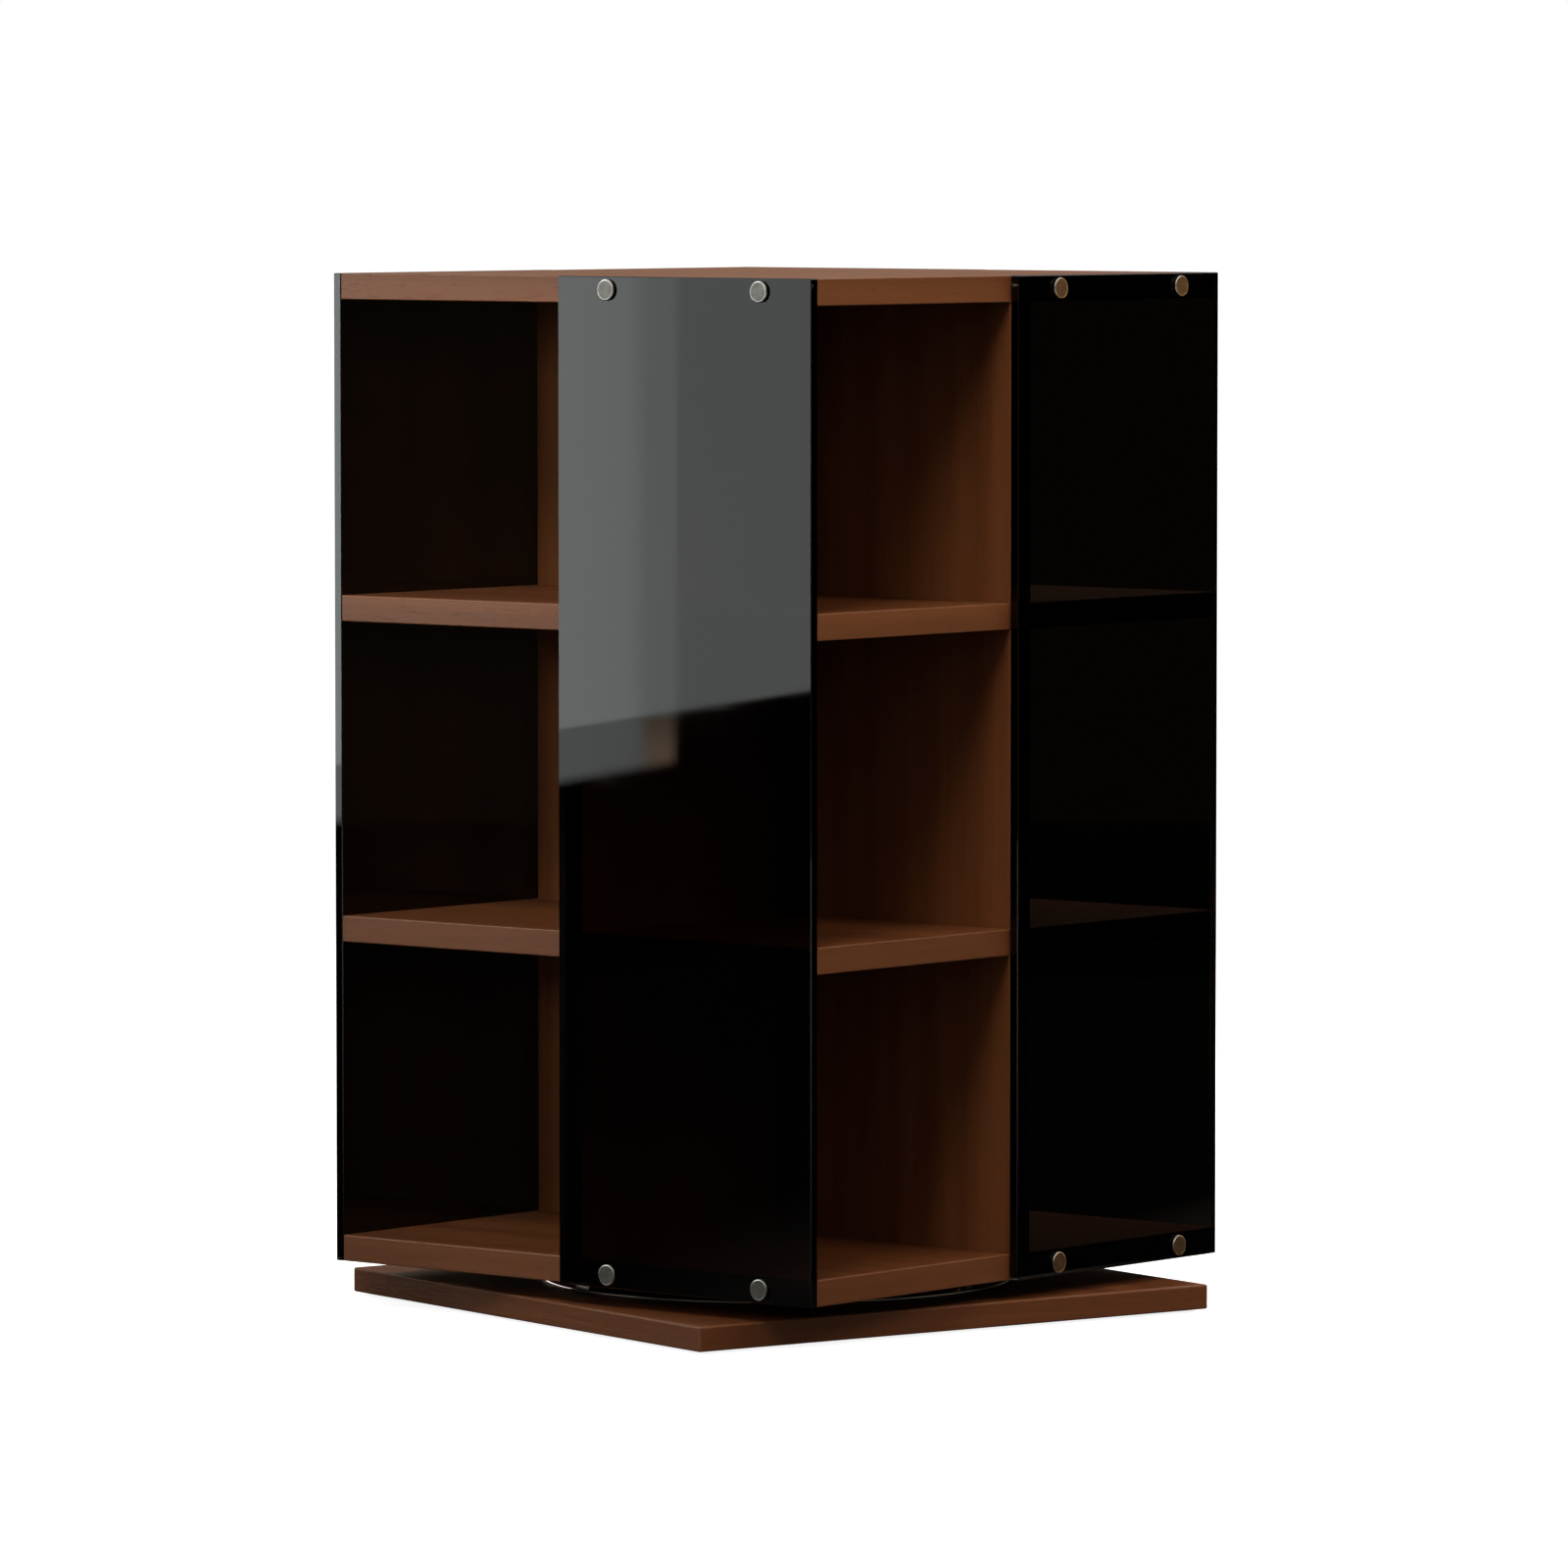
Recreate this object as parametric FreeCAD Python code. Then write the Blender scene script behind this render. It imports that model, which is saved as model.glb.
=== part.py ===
import FreeCAD, Part

import math
import os

# Rotating rack: a square tower of three tiers, four bays to a tier, that turns on a ring
# bearing above a square base board. The bays run round the tower like a pinwheel: each face
# has its open bays at the left and one full-height panel at the right, and the panel also
# closes the side of the bays behind it.
#
# Lengths are in millimetres and angles in degrees. +Z is up, the tower turns about Z, and
# the origin is on the floor at that axis. The tower's faces look along X and Y.

# Tower boards
tower_side = 300.0          # outside of the square boards, and length of the dividers
board_thickness = 12.7      # boards, shelves and dividers
bay_height = 143.2          # clear height of each tier
wood_edge_radius = 0.6      # eased edges of the tower's boards
lap_clearance = 0.1         # at each side of a divider's slot, and at its end

# Side panels
panel_thickness = 4.8
panel_edge_bevel = 0.4
panel_screw_inset = 31.0    # from the panel's long edges to its screws

# Base board and its pads
base_side = 300.0
base_thickness = 12.0
base_edge_radius = 1.0
base_turn = -15.0           # how the base lies against the tower at rest
pad_radius = 11.0
pad_thickness = 1.5
pad_inset = 30.0            # from the board's sides to a pad's centre
driver_hole_radius = 8.0    # the inner ring's screws are driven through it from below

# Ring bearing
turntable_outer_radius = 115.5
turntable_bore_radius = 74.5
ring_sheet = 1.2
ball_radius = 3.175
ball_count = 48
race_clearance = 0.05       # between a ball and the races
race_back_gap = 0.325       # between the back of a race and the level of the boards
race_root_angle = 65.0      # where a race joins its flange, from the level of the balls' centres
race_lip_angle = 55.0       # where its free lip ends, on the other side of that level
cage_thickness = 1.4
cage_end_gap = 0.7          # between the cage and the boards above and below
cage_pocket_clearance = 0.12

# Screws of the rings
ring_screw_count = 6
ring_screw_radius = 1.75
ring_screw_length = 9.5     # under the head
ring_screw_head_radius = 3.5
ring_screw_head_height = 2.2
ring_screw_head_edge_radius = 1.1
ring_screw_turn = 30.0      # of the first screw, from the X direction of its board
flange_hole_radius = 2.1

# Screws and caps of the panels
panel_screw_radius = 1.75
panel_screw_length = 25.0   # from the top of the head
panel_screw_head_radius = 3.75
panel_hole_radius = 2.1
head_recess = 0.1           # of the head below the panel's face
cap_radius = 5.1
cap_thickness = 1.6
cap_edge_radius = 0.5
cap_stud_radius = 1.2
cap_stud_length = 4.0

# All screws
screw_point_length = 3.0
screw_tip_radius = 0.2
drive_slot_width = 0.9
drive_slot_depth = 1.1
drive_slot_rim = 1.4        # metal left round the cross slot of a ring screw
hole_clearance = 0.05       # round screws, studs and dowels
hole_extra_depth = 0.6      # beyond the end of what a blind hole holds

# Dowels
dowel_radius = 3.0
dowel_depth_in_divider = 13.5
dowel_skin = 4.2            # wood left under a blind dowel hole of the top or bottom board
dowel_centre_distance = 45.0
dowel_end_inset = 35.0
dowel_end_bevel = 0.5

# Derived sizes and levels
half_side = tower_side / 2
half_board = board_thickness / 2
panel_width = half_side + half_board
tier_pitch = bay_height + board_thickness
base_top = pad_thickness + base_thickness
race_radius = ball_radius + race_clearance
turntable_height = 2 * (race_radius + ring_sheet + race_back_gap)
ball_circle_radius = (turntable_outer_radius + turntable_bore_radius) / 2
ball_level = base_top + turntable_height / 2
tower_bottom = base_top + turntable_height
flange_reach = (turntable_outer_radius - turntable_bore_radius) / 2
race_back_radius = race_radius + ring_sheet
flange_screw_reach = (race_back_radius + flange_reach) / 2
dowel_far_distance = half_side - dowel_end_inset

level_names = ["bottom_board", "lower_shelf", "upper_shelf", "top_board"]
tier_names = ["bottom_tier", "middle_tier", "top_tier"]
face_names = ["front", "right", "back", "left"]
tower_height = len(level_names) * board_thickness + len(tier_names) * bay_height

X_AXIS = FreeCAD.Vector(1, 0, 0)
Z_AXIS = FreeCAD.Vector(0, 0, 1)
ORIGIN = FreeCAD.Vector(0, 0, 0)


def level_bottom(index):
    """Height of the underside of board number index, counted from the bottom board."""
    return tower_bottom + index * tier_pitch


def turned(shape, degrees):
    """A copy of the shape, turned about the tower's axis."""
    copy = shape.copy()
    copy.rotate(ORIGIN, Z_AXIS, degrees)
    return copy


def around(shape, count, first=0.0):
    """Copies of the shape at equal steps about the tower's axis."""
    return [turned(shape, first + index * 360.0 / count) for index in range(count)]


def slab(size_x, size_y, size_z, bottom):
    """A box centred on the tower's axis, with its underside at the given height."""
    corner = FreeCAD.Vector(-size_x / 2, -size_y / 2, bottom)
    return Part.makeBox(size_x, size_y, size_z, corner)


def eased(shape, radius, upright_only=False):
    """The shape with its straight edges rounded, or only its upright ones."""
    edges = shape.Edges
    if upright_only:
        edges = [edge for edge in edges if abs(edge.tangentAt(edge.FirstParameter).z) > 0.5]
    return shape.makeFillet(radius, edges)


def revolved(points):
    """A solid turned about Z from a closed outline of (radius, height) points."""
    outline = [FreeCAD.Vector(radius, 0, height) for radius, height in points]
    face = Part.Face(Part.makePolygon(outline + outline[:1]))
    return face.revolve(ORIGIN, Z_AXIS, 360)


def upright_hole(x, y, bottom, depth, radius):
    """The round space of an upright hole."""
    return Part.makeCylinder(radius, depth, FreeCAD.Vector(x, y, bottom), Z_AXIS)


def dowel_places():
    """Plan positions of the dowels: two in each arm of the crossing dividers."""
    distances = (dowel_centre_distance, dowel_far_distance)
    return [(arm * distance, 0.0) for arm in (-1, 1) for distance in distances]


def dowel_reach(level):
    """How far the dowels of a board go below and above its underside."""
    blind = board_thickness - dowel_skin
    below = dowel_depth_in_divider if level > 0 else blind - board_thickness
    above = blind if level == len(level_names) - 1 else board_thickness + dowel_depth_in_divider
    return below, above


def dowel(level):
    """One dowel at the axis of its own hole, with both ends beveled."""
    below, above = dowel_reach(level)
    length = below + above
    peg = Part.makeCylinder(dowel_radius, length, FreeCAD.Vector(0, 0, level_bottom(level) - below))
    round_ends = [edge for edge in peg.Edges if len(edge.Vertexes) == 1]
    return peg.makeChamfer(dowel_end_bevel, round_ends)


def dowel_hole(x, y, level):
    """The drilled space round one dowel, a little longer than the dowel at both ends."""
    below, above = dowel_reach(level)
    bottom = level_bottom(level) - below - hole_extra_depth
    depth = below + above + 2 * hole_extra_depth
    return upright_hole(x, y, bottom, depth, dowel_radius + hole_clearance)


def dowel_holes(level):
    """The holes of all dowels of one board, in both directions of the cross."""
    row = [dowel_hole(x, y, level) for x, y in dowel_places()]
    return row + [turned(hole, 90) for hole in row]


def dowel_group(level):
    """All dowels of one board."""
    pegs = []
    for x, y in dowel_places():
        peg = dowel(level)
        peg.translate(FreeCAD.Vector(x, y, 0))
        pegs.append(peg)
    return Part.makeCompound(pegs + [turned(peg, 90) for peg in pegs])


def panel_screw_places():
    """Positions of the front panel's screws: along X, and the board that each one enters."""
    near_middle = -half_board + panel_screw_inset
    near_corner = half_side - panel_screw_inset
    levels = (0, len(level_names) - 1)
    return [(x, level_bottom(level) + half_board) for level in levels for x in (near_middle, near_corner)]


def into_front_face(shape, x, z):
    """Lays a shape that stands on Z at a place on the front panel, its top looking outward."""
    placed = shape.copy()
    placed.rotate(ORIGIN, X_AXIS, 90)
    placed.translate(FreeCAD.Vector(x, -half_side - panel_thickness, z))
    return placed


def at_panel_screws(shape, face):
    """Copies of the shape at each screw of one panel; face 0 is the front one."""
    copies = [into_front_face(shape, x, z) for x, z in panel_screw_places()]
    return [turned(copy, 90 * face) for copy in copies]


def panel_screw():
    """Countersunk screw, head up, with a slot and a tapped hole for the cap's stud."""
    top = -head_recess
    neck = top - (panel_screw_head_radius - panel_screw_radius)
    end = top - panel_screw_length
    screw = revolved([
        (0, top),
        (panel_screw_head_radius, top),
        (panel_screw_radius, neck),
        (panel_screw_radius, end + screw_point_length),
        (screw_tip_radius, end),
        (0, end),
    ])
    tapped_depth = cap_stud_length + hole_extra_depth
    tapped = upright_hole(0, 0, -tapped_depth, tapped_depth, cap_stud_radius + hole_clearance)
    slot = slab(2 * panel_screw_head_radius, drive_slot_width, drive_slot_depth, top - drive_slot_depth)
    return screw.cut([tapped, slot])


def panel_screw_seat():
    """The space in panel and board that one panel screw takes up."""
    cone_top = panel_screw_head_radius + hole_clearance
    cone_depth = head_recess + cone_top - panel_hole_radius
    cone = revolved([
        (0, 0),
        (cone_top, 0),
        (cone_top, -head_recess),
        (panel_hole_radius, -cone_depth),
        (0, -cone_depth),
    ])
    through = upright_hole(0, 0, -panel_thickness, panel_thickness, panel_hole_radius)
    depth = head_recess + panel_screw_length + hole_extra_depth
    pilot = upright_hole(0, 0, -depth, depth, panel_screw_radius + hole_clearance)
    return cone.fuse([through, pilot])


def panel_cap():
    """Round flat cap with an eased rim and a stud that screws into the screw's head."""
    disc = Part.makeCylinder(cap_radius, cap_thickness)
    rim = [edge for edge in disc.Edges if abs(edge.CenterOfMass.z - cap_thickness) < 1e-6]
    disc = disc.makeFillet(cap_edge_radius, rim)
    stud = upright_hole(0, 0, -cap_stud_length, cap_stud_length, cap_stud_radius)
    return disc.fuse(stud).removeSplitter()


def ring_screw():
    """Pan-head screw on Z: the head stands on the level of the flange, the shank goes down."""
    shank = revolved([
        (0, 0),
        (ring_screw_radius, 0),
        (ring_screw_radius, -ring_screw_length + screw_point_length),
        (screw_tip_radius, -ring_screw_length),
        (0, -ring_screw_length),
    ])
    head = Part.makeCylinder(ring_screw_head_radius, ring_screw_head_height)
    rim = [edge for edge in head.Edges if abs(edge.CenterOfMass.z - ring_screw_head_height) < 1e-6]
    head = head.makeFillet(ring_screw_head_edge_radius, rim)
    slot_bottom = ring_screw_head_height - drive_slot_depth
    slot_length = 2 * (ring_screw_head_radius - drive_slot_rim)
    cross = [
        slab(slot_length, drive_slot_width, drive_slot_depth, slot_bottom),
        slab(drive_slot_width, slot_length, drive_slot_depth, slot_bottom),
    ]
    return head.cut(cross).fuse(shank).removeSplitter()


def outer_ring_screw_place(shape):
    """Six copies of a shape at the outer ring's screws, on its flange, looking up."""
    placed = shape.copy()
    placed.translate(FreeCAD.Vector(ball_circle_radius + flange_screw_reach, 0, base_top + ring_sheet))
    return around(placed, ring_screw_count, ring_screw_turn + base_turn)


def inner_ring_screw_place(shape):
    """Six copies of a shape at the inner ring's screws, under its flange, looking down."""
    placed = shape.copy()
    placed.rotate(ORIGIN, X_AXIS, 180)
    placed.translate(FreeCAD.Vector(ball_circle_radius - flange_screw_reach, 0, tower_bottom - ring_sheet))
    return around(placed, ring_screw_count, ring_screw_turn)


def ring_screw_pilot():
    """The space that a ring screw takes up in wood, seen from the face of the flange."""
    depth = ring_screw_length + hole_extra_depth
    return upright_hole(0, 0, -depth, depth, ring_screw_radius + hole_clearance)


def flange_hole():
    """The hole for a ring screw in the flange."""
    return upright_hole(0, 0, -2 * ring_sheet, 3 * ring_sheet, flange_hole_radius)


def race_ring(side):
    """Pressed ring with a race round the balls and a flat flange.

    side is 1 for the outer ring, whose flange lies on the base board, and -1 for the inner
    ring, which is the same section turned half round the balls' centres.
    """
    def at(across, up):
        return FreeCAD.Vector(ball_circle_radius + side * across, 0, ball_level + side * up)

    def on_arc(radius, degrees):
        angle = math.radians(degrees)
        return at(radius * math.cos(angle), radius * math.sin(angle))

    def arc(radius, first, last):
        middle = (first + last) / 2
        return Part.Arc(on_arc(radius, first), on_arc(radius, middle), on_arc(radius, last)).toShape()

    root = -race_root_angle
    lip = race_lip_angle
    flange_low = -turntable_height / 2
    flange_high = flange_low + ring_sheet
    flange_meets_back = math.degrees(math.asin(flange_high / race_back_radius))
    flange_start = race_radius * math.cos(math.radians(root))
    section = Part.Face(Part.Wire([
        arc(race_radius, root, lip),
        Part.makeLine(on_arc(race_radius, lip), on_arc(race_back_radius, lip)),
        arc(race_back_radius, lip, flange_meets_back),
        Part.makeLine(on_arc(race_back_radius, flange_meets_back), at(flange_reach, flange_high)),
        Part.makeLine(at(flange_reach, flange_high), at(flange_reach, flange_low)),
        Part.makeLine(at(flange_reach, flange_low), at(flange_start, flange_low)),
        Part.makeLine(at(flange_start, flange_low), on_arc(race_radius, root)),
    ]))
    return section.revolve(ORIGIN, Z_AXIS, 360)


def turntable_outer_ring():
    """The ring that is screwed down on the base board."""
    return race_ring(1).cut(outer_ring_screw_place(flange_hole()))


def turntable_inner_ring():
    """The ring that is screwed up against the bottom board, and turns with the tower."""
    return race_ring(-1).cut(inner_ring_screw_place(flange_hole()))


def ball():
    """The ball that lies on the X direction."""
    centre = FreeCAD.Vector(ball_circle_radius, 0, ball_level)
    return Part.makeSphere(ball_radius, centre)


def turntable_balls():
    """All balls, at equal steps round the bearing."""
    return Part.makeCompound(around(ball(), ball_count))


def turntable_ball_cage():
    """Thin upright band between the races, with a round pocket for each ball."""
    bottom = base_top + cage_end_gap
    height = turntable_height - 2 * cage_end_gap
    outside = Part.makeCylinder(ball_circle_radius + cage_thickness / 2, height, FreeCAD.Vector(0, 0, bottom))
    inside = Part.makeCylinder(ball_circle_radius - cage_thickness / 2, height, FreeCAD.Vector(0, 0, bottom))
    start = FreeCAD.Vector(ball_circle_radius - cage_thickness, 0, ball_level)
    pocket = Part.makeCylinder(ball_radius + cage_pocket_clearance, 2 * cage_thickness, start, X_AXIS)
    return outside.cut(inside).cut(around(pocket, ball_count))


def base_board():
    """Square board with pilot holes for the outer ring and one hole for the screwdriver."""
    board = eased(slab(base_side, base_side, base_thickness, pad_thickness), base_edge_radius)
    board = turned(board, base_turn)
    pilots = outer_ring_screw_place(ring_screw_pilot())
    driver_distance = ball_circle_radius - flange_screw_reach
    driver_hole = upright_hole(driver_distance, 0, pad_thickness, base_thickness, driver_hole_radius)
    return board.cut(pilots + [turned(driver_hole, base_turn)])


def base_pads():
    """Four thin pads that the base board stands on."""
    distance = base_side / 2 - pad_inset
    pad = upright_hole(distance, distance, 0, pad_thickness, pad_radius)
    return Part.makeCompound(around(pad, 4, base_turn))


def tower_board(level):
    """A square board of the tower, drilled for its dowels."""
    board = eased(slab(tower_side, tower_side, board_thickness, level_bottom(level)), wood_edge_radius)
    holes = dowel_holes(level)
    if level in (0, len(level_names) - 1):
        for face in range(len(face_names)):
            holes += at_panel_screws(panel_screw_seat(), face)
    if level == 0:
        holes += inner_ring_screw_place(ring_screw_pilot())
    return board.cut(holes)


def divider(tier, slot_at_top):
    """Upright board across the tower along X, with the slot of the halved crossing."""
    bottom = level_bottom(tier) + board_thickness
    board = eased(slab(tower_side, board_thickness, bay_height, bottom), wood_edge_radius, True)
    slot_height = bay_height / 2 + lap_clearance
    slot_bottom = bottom + bay_height - slot_height if slot_at_top else bottom
    slot = slab(board_thickness + 2 * lap_clearance, board_thickness, slot_height, slot_bottom)
    holes = [dowel_hole(x, y, level) for level in (tier, tier + 1) for x, y in dowel_places()]
    return board.cut([slot] + holes)


def panel(face):
    """Full-height panel on one face: its far edge lines up with the next face's wood."""
    corner = FreeCAD.Vector(half_side - panel_width, -half_side - panel_thickness, tower_bottom)
    sheet = Part.makeBox(panel_width, panel_thickness, tower_height, corner)
    sheet = sheet.makeChamfer(panel_edge_bevel, sheet.Edges)
    return turned(sheet, 90 * face).cut(at_panel_screws(panel_screw_seat(), face))


def all_nodes():
    """Every sub-part, by its name."""
    nodes = {
        "base_board": base_board(),
        "base_pads": base_pads(),
        "turntable_outer_ring": turntable_outer_ring(),
        "outer_ring_screws": Part.makeCompound(outer_ring_screw_place(ring_screw())),
        "turntable_balls": turntable_balls(),
        "turntable_ball_cage": turntable_ball_cage(),
        "turntable_inner_ring": turntable_inner_ring(),
        "inner_ring_screws": Part.makeCompound(inner_ring_screw_place(ring_screw())),
    }
    for level, name in enumerate(level_names):
        nodes[name] = tower_board(level)
        nodes[name + "_dowels"] = dowel_group(level)
    for tier, name in enumerate(tier_names):
        nodes[name + "_divider_left_right"] = divider(tier, True)
        nodes[name + "_divider_front_back"] = turned(divider(tier, False), 90)
    for face, name in enumerate(face_names):
        nodes[name + "_panel"] = panel(face)
        nodes[name + "_panel_screws"] = Part.makeCompound(at_panel_screws(panel_screw(), face))
        nodes[name + "_panel_caps"] = Part.makeCompound(at_panel_screws(panel_cap(), face))
    return nodes


def main():
    """Writes one file per sub-part and prints its solids."""
    os.makedirs("parts", exist_ok=True)
    for name, shape in all_nodes().items():
        if not shape.isValid():
            raise ValueError(name + " is not a valid shape")
        shape.exportStep("parts/" + name + ".step")
        print(name, len(shape.Solids), "solids", round(shape.Volume, 1), "mm3")


main()
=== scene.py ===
"""Looks of the rotating record rack: walnut boards, smoked panels, satin caps, pale studio."""
import logging
import math
from contextlib import contextmanager
from dataclasses import dataclass
from enum import Enum
from typing import Callable, Iterator, Sequence

import bmesh
import bpy
from mathutils import Matrix, Vector


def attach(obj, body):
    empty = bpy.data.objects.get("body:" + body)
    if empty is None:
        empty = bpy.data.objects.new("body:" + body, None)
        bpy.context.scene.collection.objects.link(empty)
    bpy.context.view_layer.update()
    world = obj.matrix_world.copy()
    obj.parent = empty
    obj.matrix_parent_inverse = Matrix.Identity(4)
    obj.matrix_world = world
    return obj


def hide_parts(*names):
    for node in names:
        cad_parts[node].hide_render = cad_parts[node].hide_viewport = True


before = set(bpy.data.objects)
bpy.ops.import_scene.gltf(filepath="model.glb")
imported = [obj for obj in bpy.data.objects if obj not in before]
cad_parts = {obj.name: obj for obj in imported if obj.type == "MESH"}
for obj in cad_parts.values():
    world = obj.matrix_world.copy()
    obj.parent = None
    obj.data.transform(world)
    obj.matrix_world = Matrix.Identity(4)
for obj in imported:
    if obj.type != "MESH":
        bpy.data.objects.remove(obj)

LOG = logging.getLogger("record_rack")
FACE_NAMES = ("front", "right", "back", "left")
TIER_NAMES = ("bottom_tier", "middle_tier", "top_tier")
LEVEL_NAMES = ("bottom_board", "lower_shelf", "upper_shelf", "top_board")
# marks the eased edges, whose lighter tone is partly rubbing of the finish and partly a painted highlight
EDGE_WEAR_AND_HIGHLIGHT = "edge_wear_and_highlight"
SQUARE_ON = 0.999       # a face looks along an axis when that part of its normal is above this
OVERSHOOT = 0.001       # how far a through hole's drill goes past a face, in metres
DOWN, UP = (0, 0, -1), (0, 0, 1)
WHITE = (1.0, 1.0, 1.0, 1.0)

Colour = tuple[float, float, float]
Point = tuple[float, float, float]
Piece = bpy.types.Object
Socket = bpy.types.NodeSocket


# Tools of the bench


def select_only(*pieces: Piece) -> None:
    """Selects the given pieces alone; the first one becomes the active one.

    Args:
        pieces: the objects to select.
    """
    bpy.ops.object.select_all(action="DESELECT")
    for piece in pieces:
        piece.select_set(True)
    bpy.context.view_layer.objects.active = pieces[0]


@contextmanager
def editing(piece: Piece) -> Iterator[None]:
    """Edit mode on one piece, with nothing selected at first.

    Args:
        piece: the mesh object to shape.

    Returns:
        A context, at whose end the piece is in object mode again.
    """
    select_only(piece)
    bpy.ops.object.mode_set(mode="EDIT")
    bpy.ops.mesh.select_mode(type="FACE")
    bpy.ops.mesh.select_all(action="DESELECT")
    yield
    bpy.ops.object.mode_set(mode="OBJECT")


def pick_faces(piece: Piece, test: Callable[[Vector, Vector], bool]) -> None:
    """Selects the faces of the piece in edit mode that pass a test, and no others.

    Args:
        piece: the mesh object in edit mode.
        test: takes a face's centre and normal.
    """
    bpy.ops.mesh.select_all(action="DESELECT")
    shape = bmesh.from_edit_mesh(piece.data)
    for face in shape.faces:
        face.select = test(face.calc_center_median(), face.normal)
    shape.select_flush_mode()
    bmesh.update_edit_mesh(piece.data)


def looks_up(centre: Vector, normal: Vector) -> bool:
    """Whether a face looks straight up."""
    return normal.z > SQUARE_ON


def looks_down(centre: Vector, normal: Vector) -> bool:
    """Whether a face looks straight down."""
    return normal.z < -SQUARE_ON


def is_level(centre: Vector, normal: Vector) -> bool:
    """Whether a face is a top or an underside."""
    return abs(normal.z) > SQUARE_ON


def give_slot(piece: Piece, test: Callable[[Vector, Vector], bool], slot: int) -> None:
    """Gives the faces that pass a test one of the piece's material slots.

    Args:
        piece: the mesh object in edit mode.
        test: takes a face's centre and normal.
        slot: number of the material slot.
    """
    pick_faces(piece, test)
    piece.active_material_index = slot
    bpy.ops.object.material_slot_assign()


def settle(piece: Piece) -> None:
    """Puts the object's place, turn and size into its mesh."""
    select_only(piece)
    bpy.ops.object.transform_apply(location=True, rotation=True, scale=True)


def named(piece: Piece, name: str) -> Piece:
    """Names a piece and its mesh.

    Args:
        piece: the mesh object.
        name: the name of both.

    Returns:
        The piece.
    """
    piece.name = name
    piece.data.name = name
    return piece


def added(primitive: Callable, **settings: object) -> Piece:
    """Adds a primitive with nothing else selected.

    Args:
        primitive: the operator that adds it.
        settings: the operator's own settings.

    Returns:
        The new object.
    """
    bpy.ops.object.select_all(action="DESELECT")
    primitive(**settings)
    return bpy.context.active_object


def started(name: str, primitive: Callable, stretch: Point = (1.0, 1.0, 1.0), **settings: object) -> Piece:
    """The start of a piece: a named primitive, whose place is in its mesh.

    Args:
        name: name of the new object.
        primitive: the operator that adds it.
        stretch: its scale, because a plane's and a grid's operators ignore their own.
        settings: the operator's own settings.

    Returns:
        The new object, at the origin.
    """
    piece = named(added(primitive, **settings), name)
    piece.scale = stretch
    settle(piece)
    return piece


def block(name: str, low: Point, high: Point) -> Piece:
    """A box between two corners, as the start of a piece.

    Args:
        name: name of the new object.
        low: lowest corner, in metres.
        high: highest corner, in metres.

    Returns:
        The new object, at the origin.
    """
    centre = [(a + b) / 2 for a, b in zip(low, high)]
    size = [b - a for a, b in zip(low, high)]
    return started(name, bpy.ops.mesh.primitive_cube_add, size=1, location=centre, stretch=size)


def round_bar(name: str, radius: float, height: float, sides: int) -> Piece:
    """An upright round bar that stands on the origin, as the start of a turned piece."""
    return started(name, bpy.ops.mesh.primitive_cylinder_add, vertices=sides, radius=radius, depth=height,
                   location=(0, 0, height / 2))


def spun_section(name: str, outline: Sequence[tuple[float, float]], steps: int) -> Piece:
    """A ring spun about the Z axis from the closed outline of its section.

    Args:
        name: name of the new object.
        outline: corners of the section, each as distance from the axis and height.
        steps: number of facets round the ring.

    Returns:
        The new object, at the origin.
    """
    piece = started(name, bpy.ops.mesh.primitive_circle_add, vertices=len(outline), radius=0.001,
                    fill_type="NOTHING")
    for corner, (reach, height) in zip(piece.data.vertices, outline):
        corner.co = (reach, 0.0, height)
    with editing(piece):
        bpy.ops.mesh.select_mode(type="VERT")
        bpy.ops.mesh.select_all(action="SELECT")
        bpy.ops.mesh.spin(steps=steps, angle=2 * math.pi, center=(0, 0, 0), axis=(0, 0, 1))
        bpy.ops.mesh.select_all(action="SELECT")
        bpy.ops.mesh.remove_doubles(threshold=0.000001)
        bpy.ops.mesh.normals_make_consistent(inside=False)
    return piece


def copied(piece: Piece, name: str, place: Matrix) -> Piece:
    """A copy of a piece with its own mesh, moved and turned.

    Args:
        piece: the piece to copy.
        name: name of the copy.
        place: where the copy goes.

    Returns:
        The copy, with its place in its mesh.
    """
    select_only(piece)
    bpy.ops.object.duplicate(linked=False)
    copy = named(bpy.context.active_object, name)
    copy.matrix_world = place
    settle(copy)
    return copy


def joined(pieces: Sequence[Piece], name: str) -> Piece:
    """Several loose pieces as one object.

    Args:
        pieces: the objects to join.
        name: name of the result.

    Returns:
        The joined object.
    """
    select_only(*pieces)
    bpy.ops.object.join()
    return named(bpy.context.active_object, name)


def apply_modifier(piece: Piece, kind: str, **settings: object) -> None:
    """Adds a modifier to a piece and applies it at once.

    Args:
        piece: the mesh object.
        kind: the modifier's type.
        settings: values of the modifier's own properties.
    """
    select_only(piece)
    modifier = piece.modifiers.new(kind.lower(), kind)
    for key, value in settings.items():
        setattr(modifier, key, value)
    bpy.ops.object.modifier_apply(modifier=modifier.name)


def smoothed(piece: Piece, degrees: float = 32.0) -> None:
    """Smooth shading across gentle edges that leaves the large faces flat.

    Args:
        piece: the mesh object.
        degrees: edges sharper than this stay sharp.
    """
    select_only(piece)
    bpy.ops.object.shade_smooth_by_angle(angle=math.radians(degrees))
    apply_modifier(piece, "WEIGHTED_NORMAL", keep_sharp=True)


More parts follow.
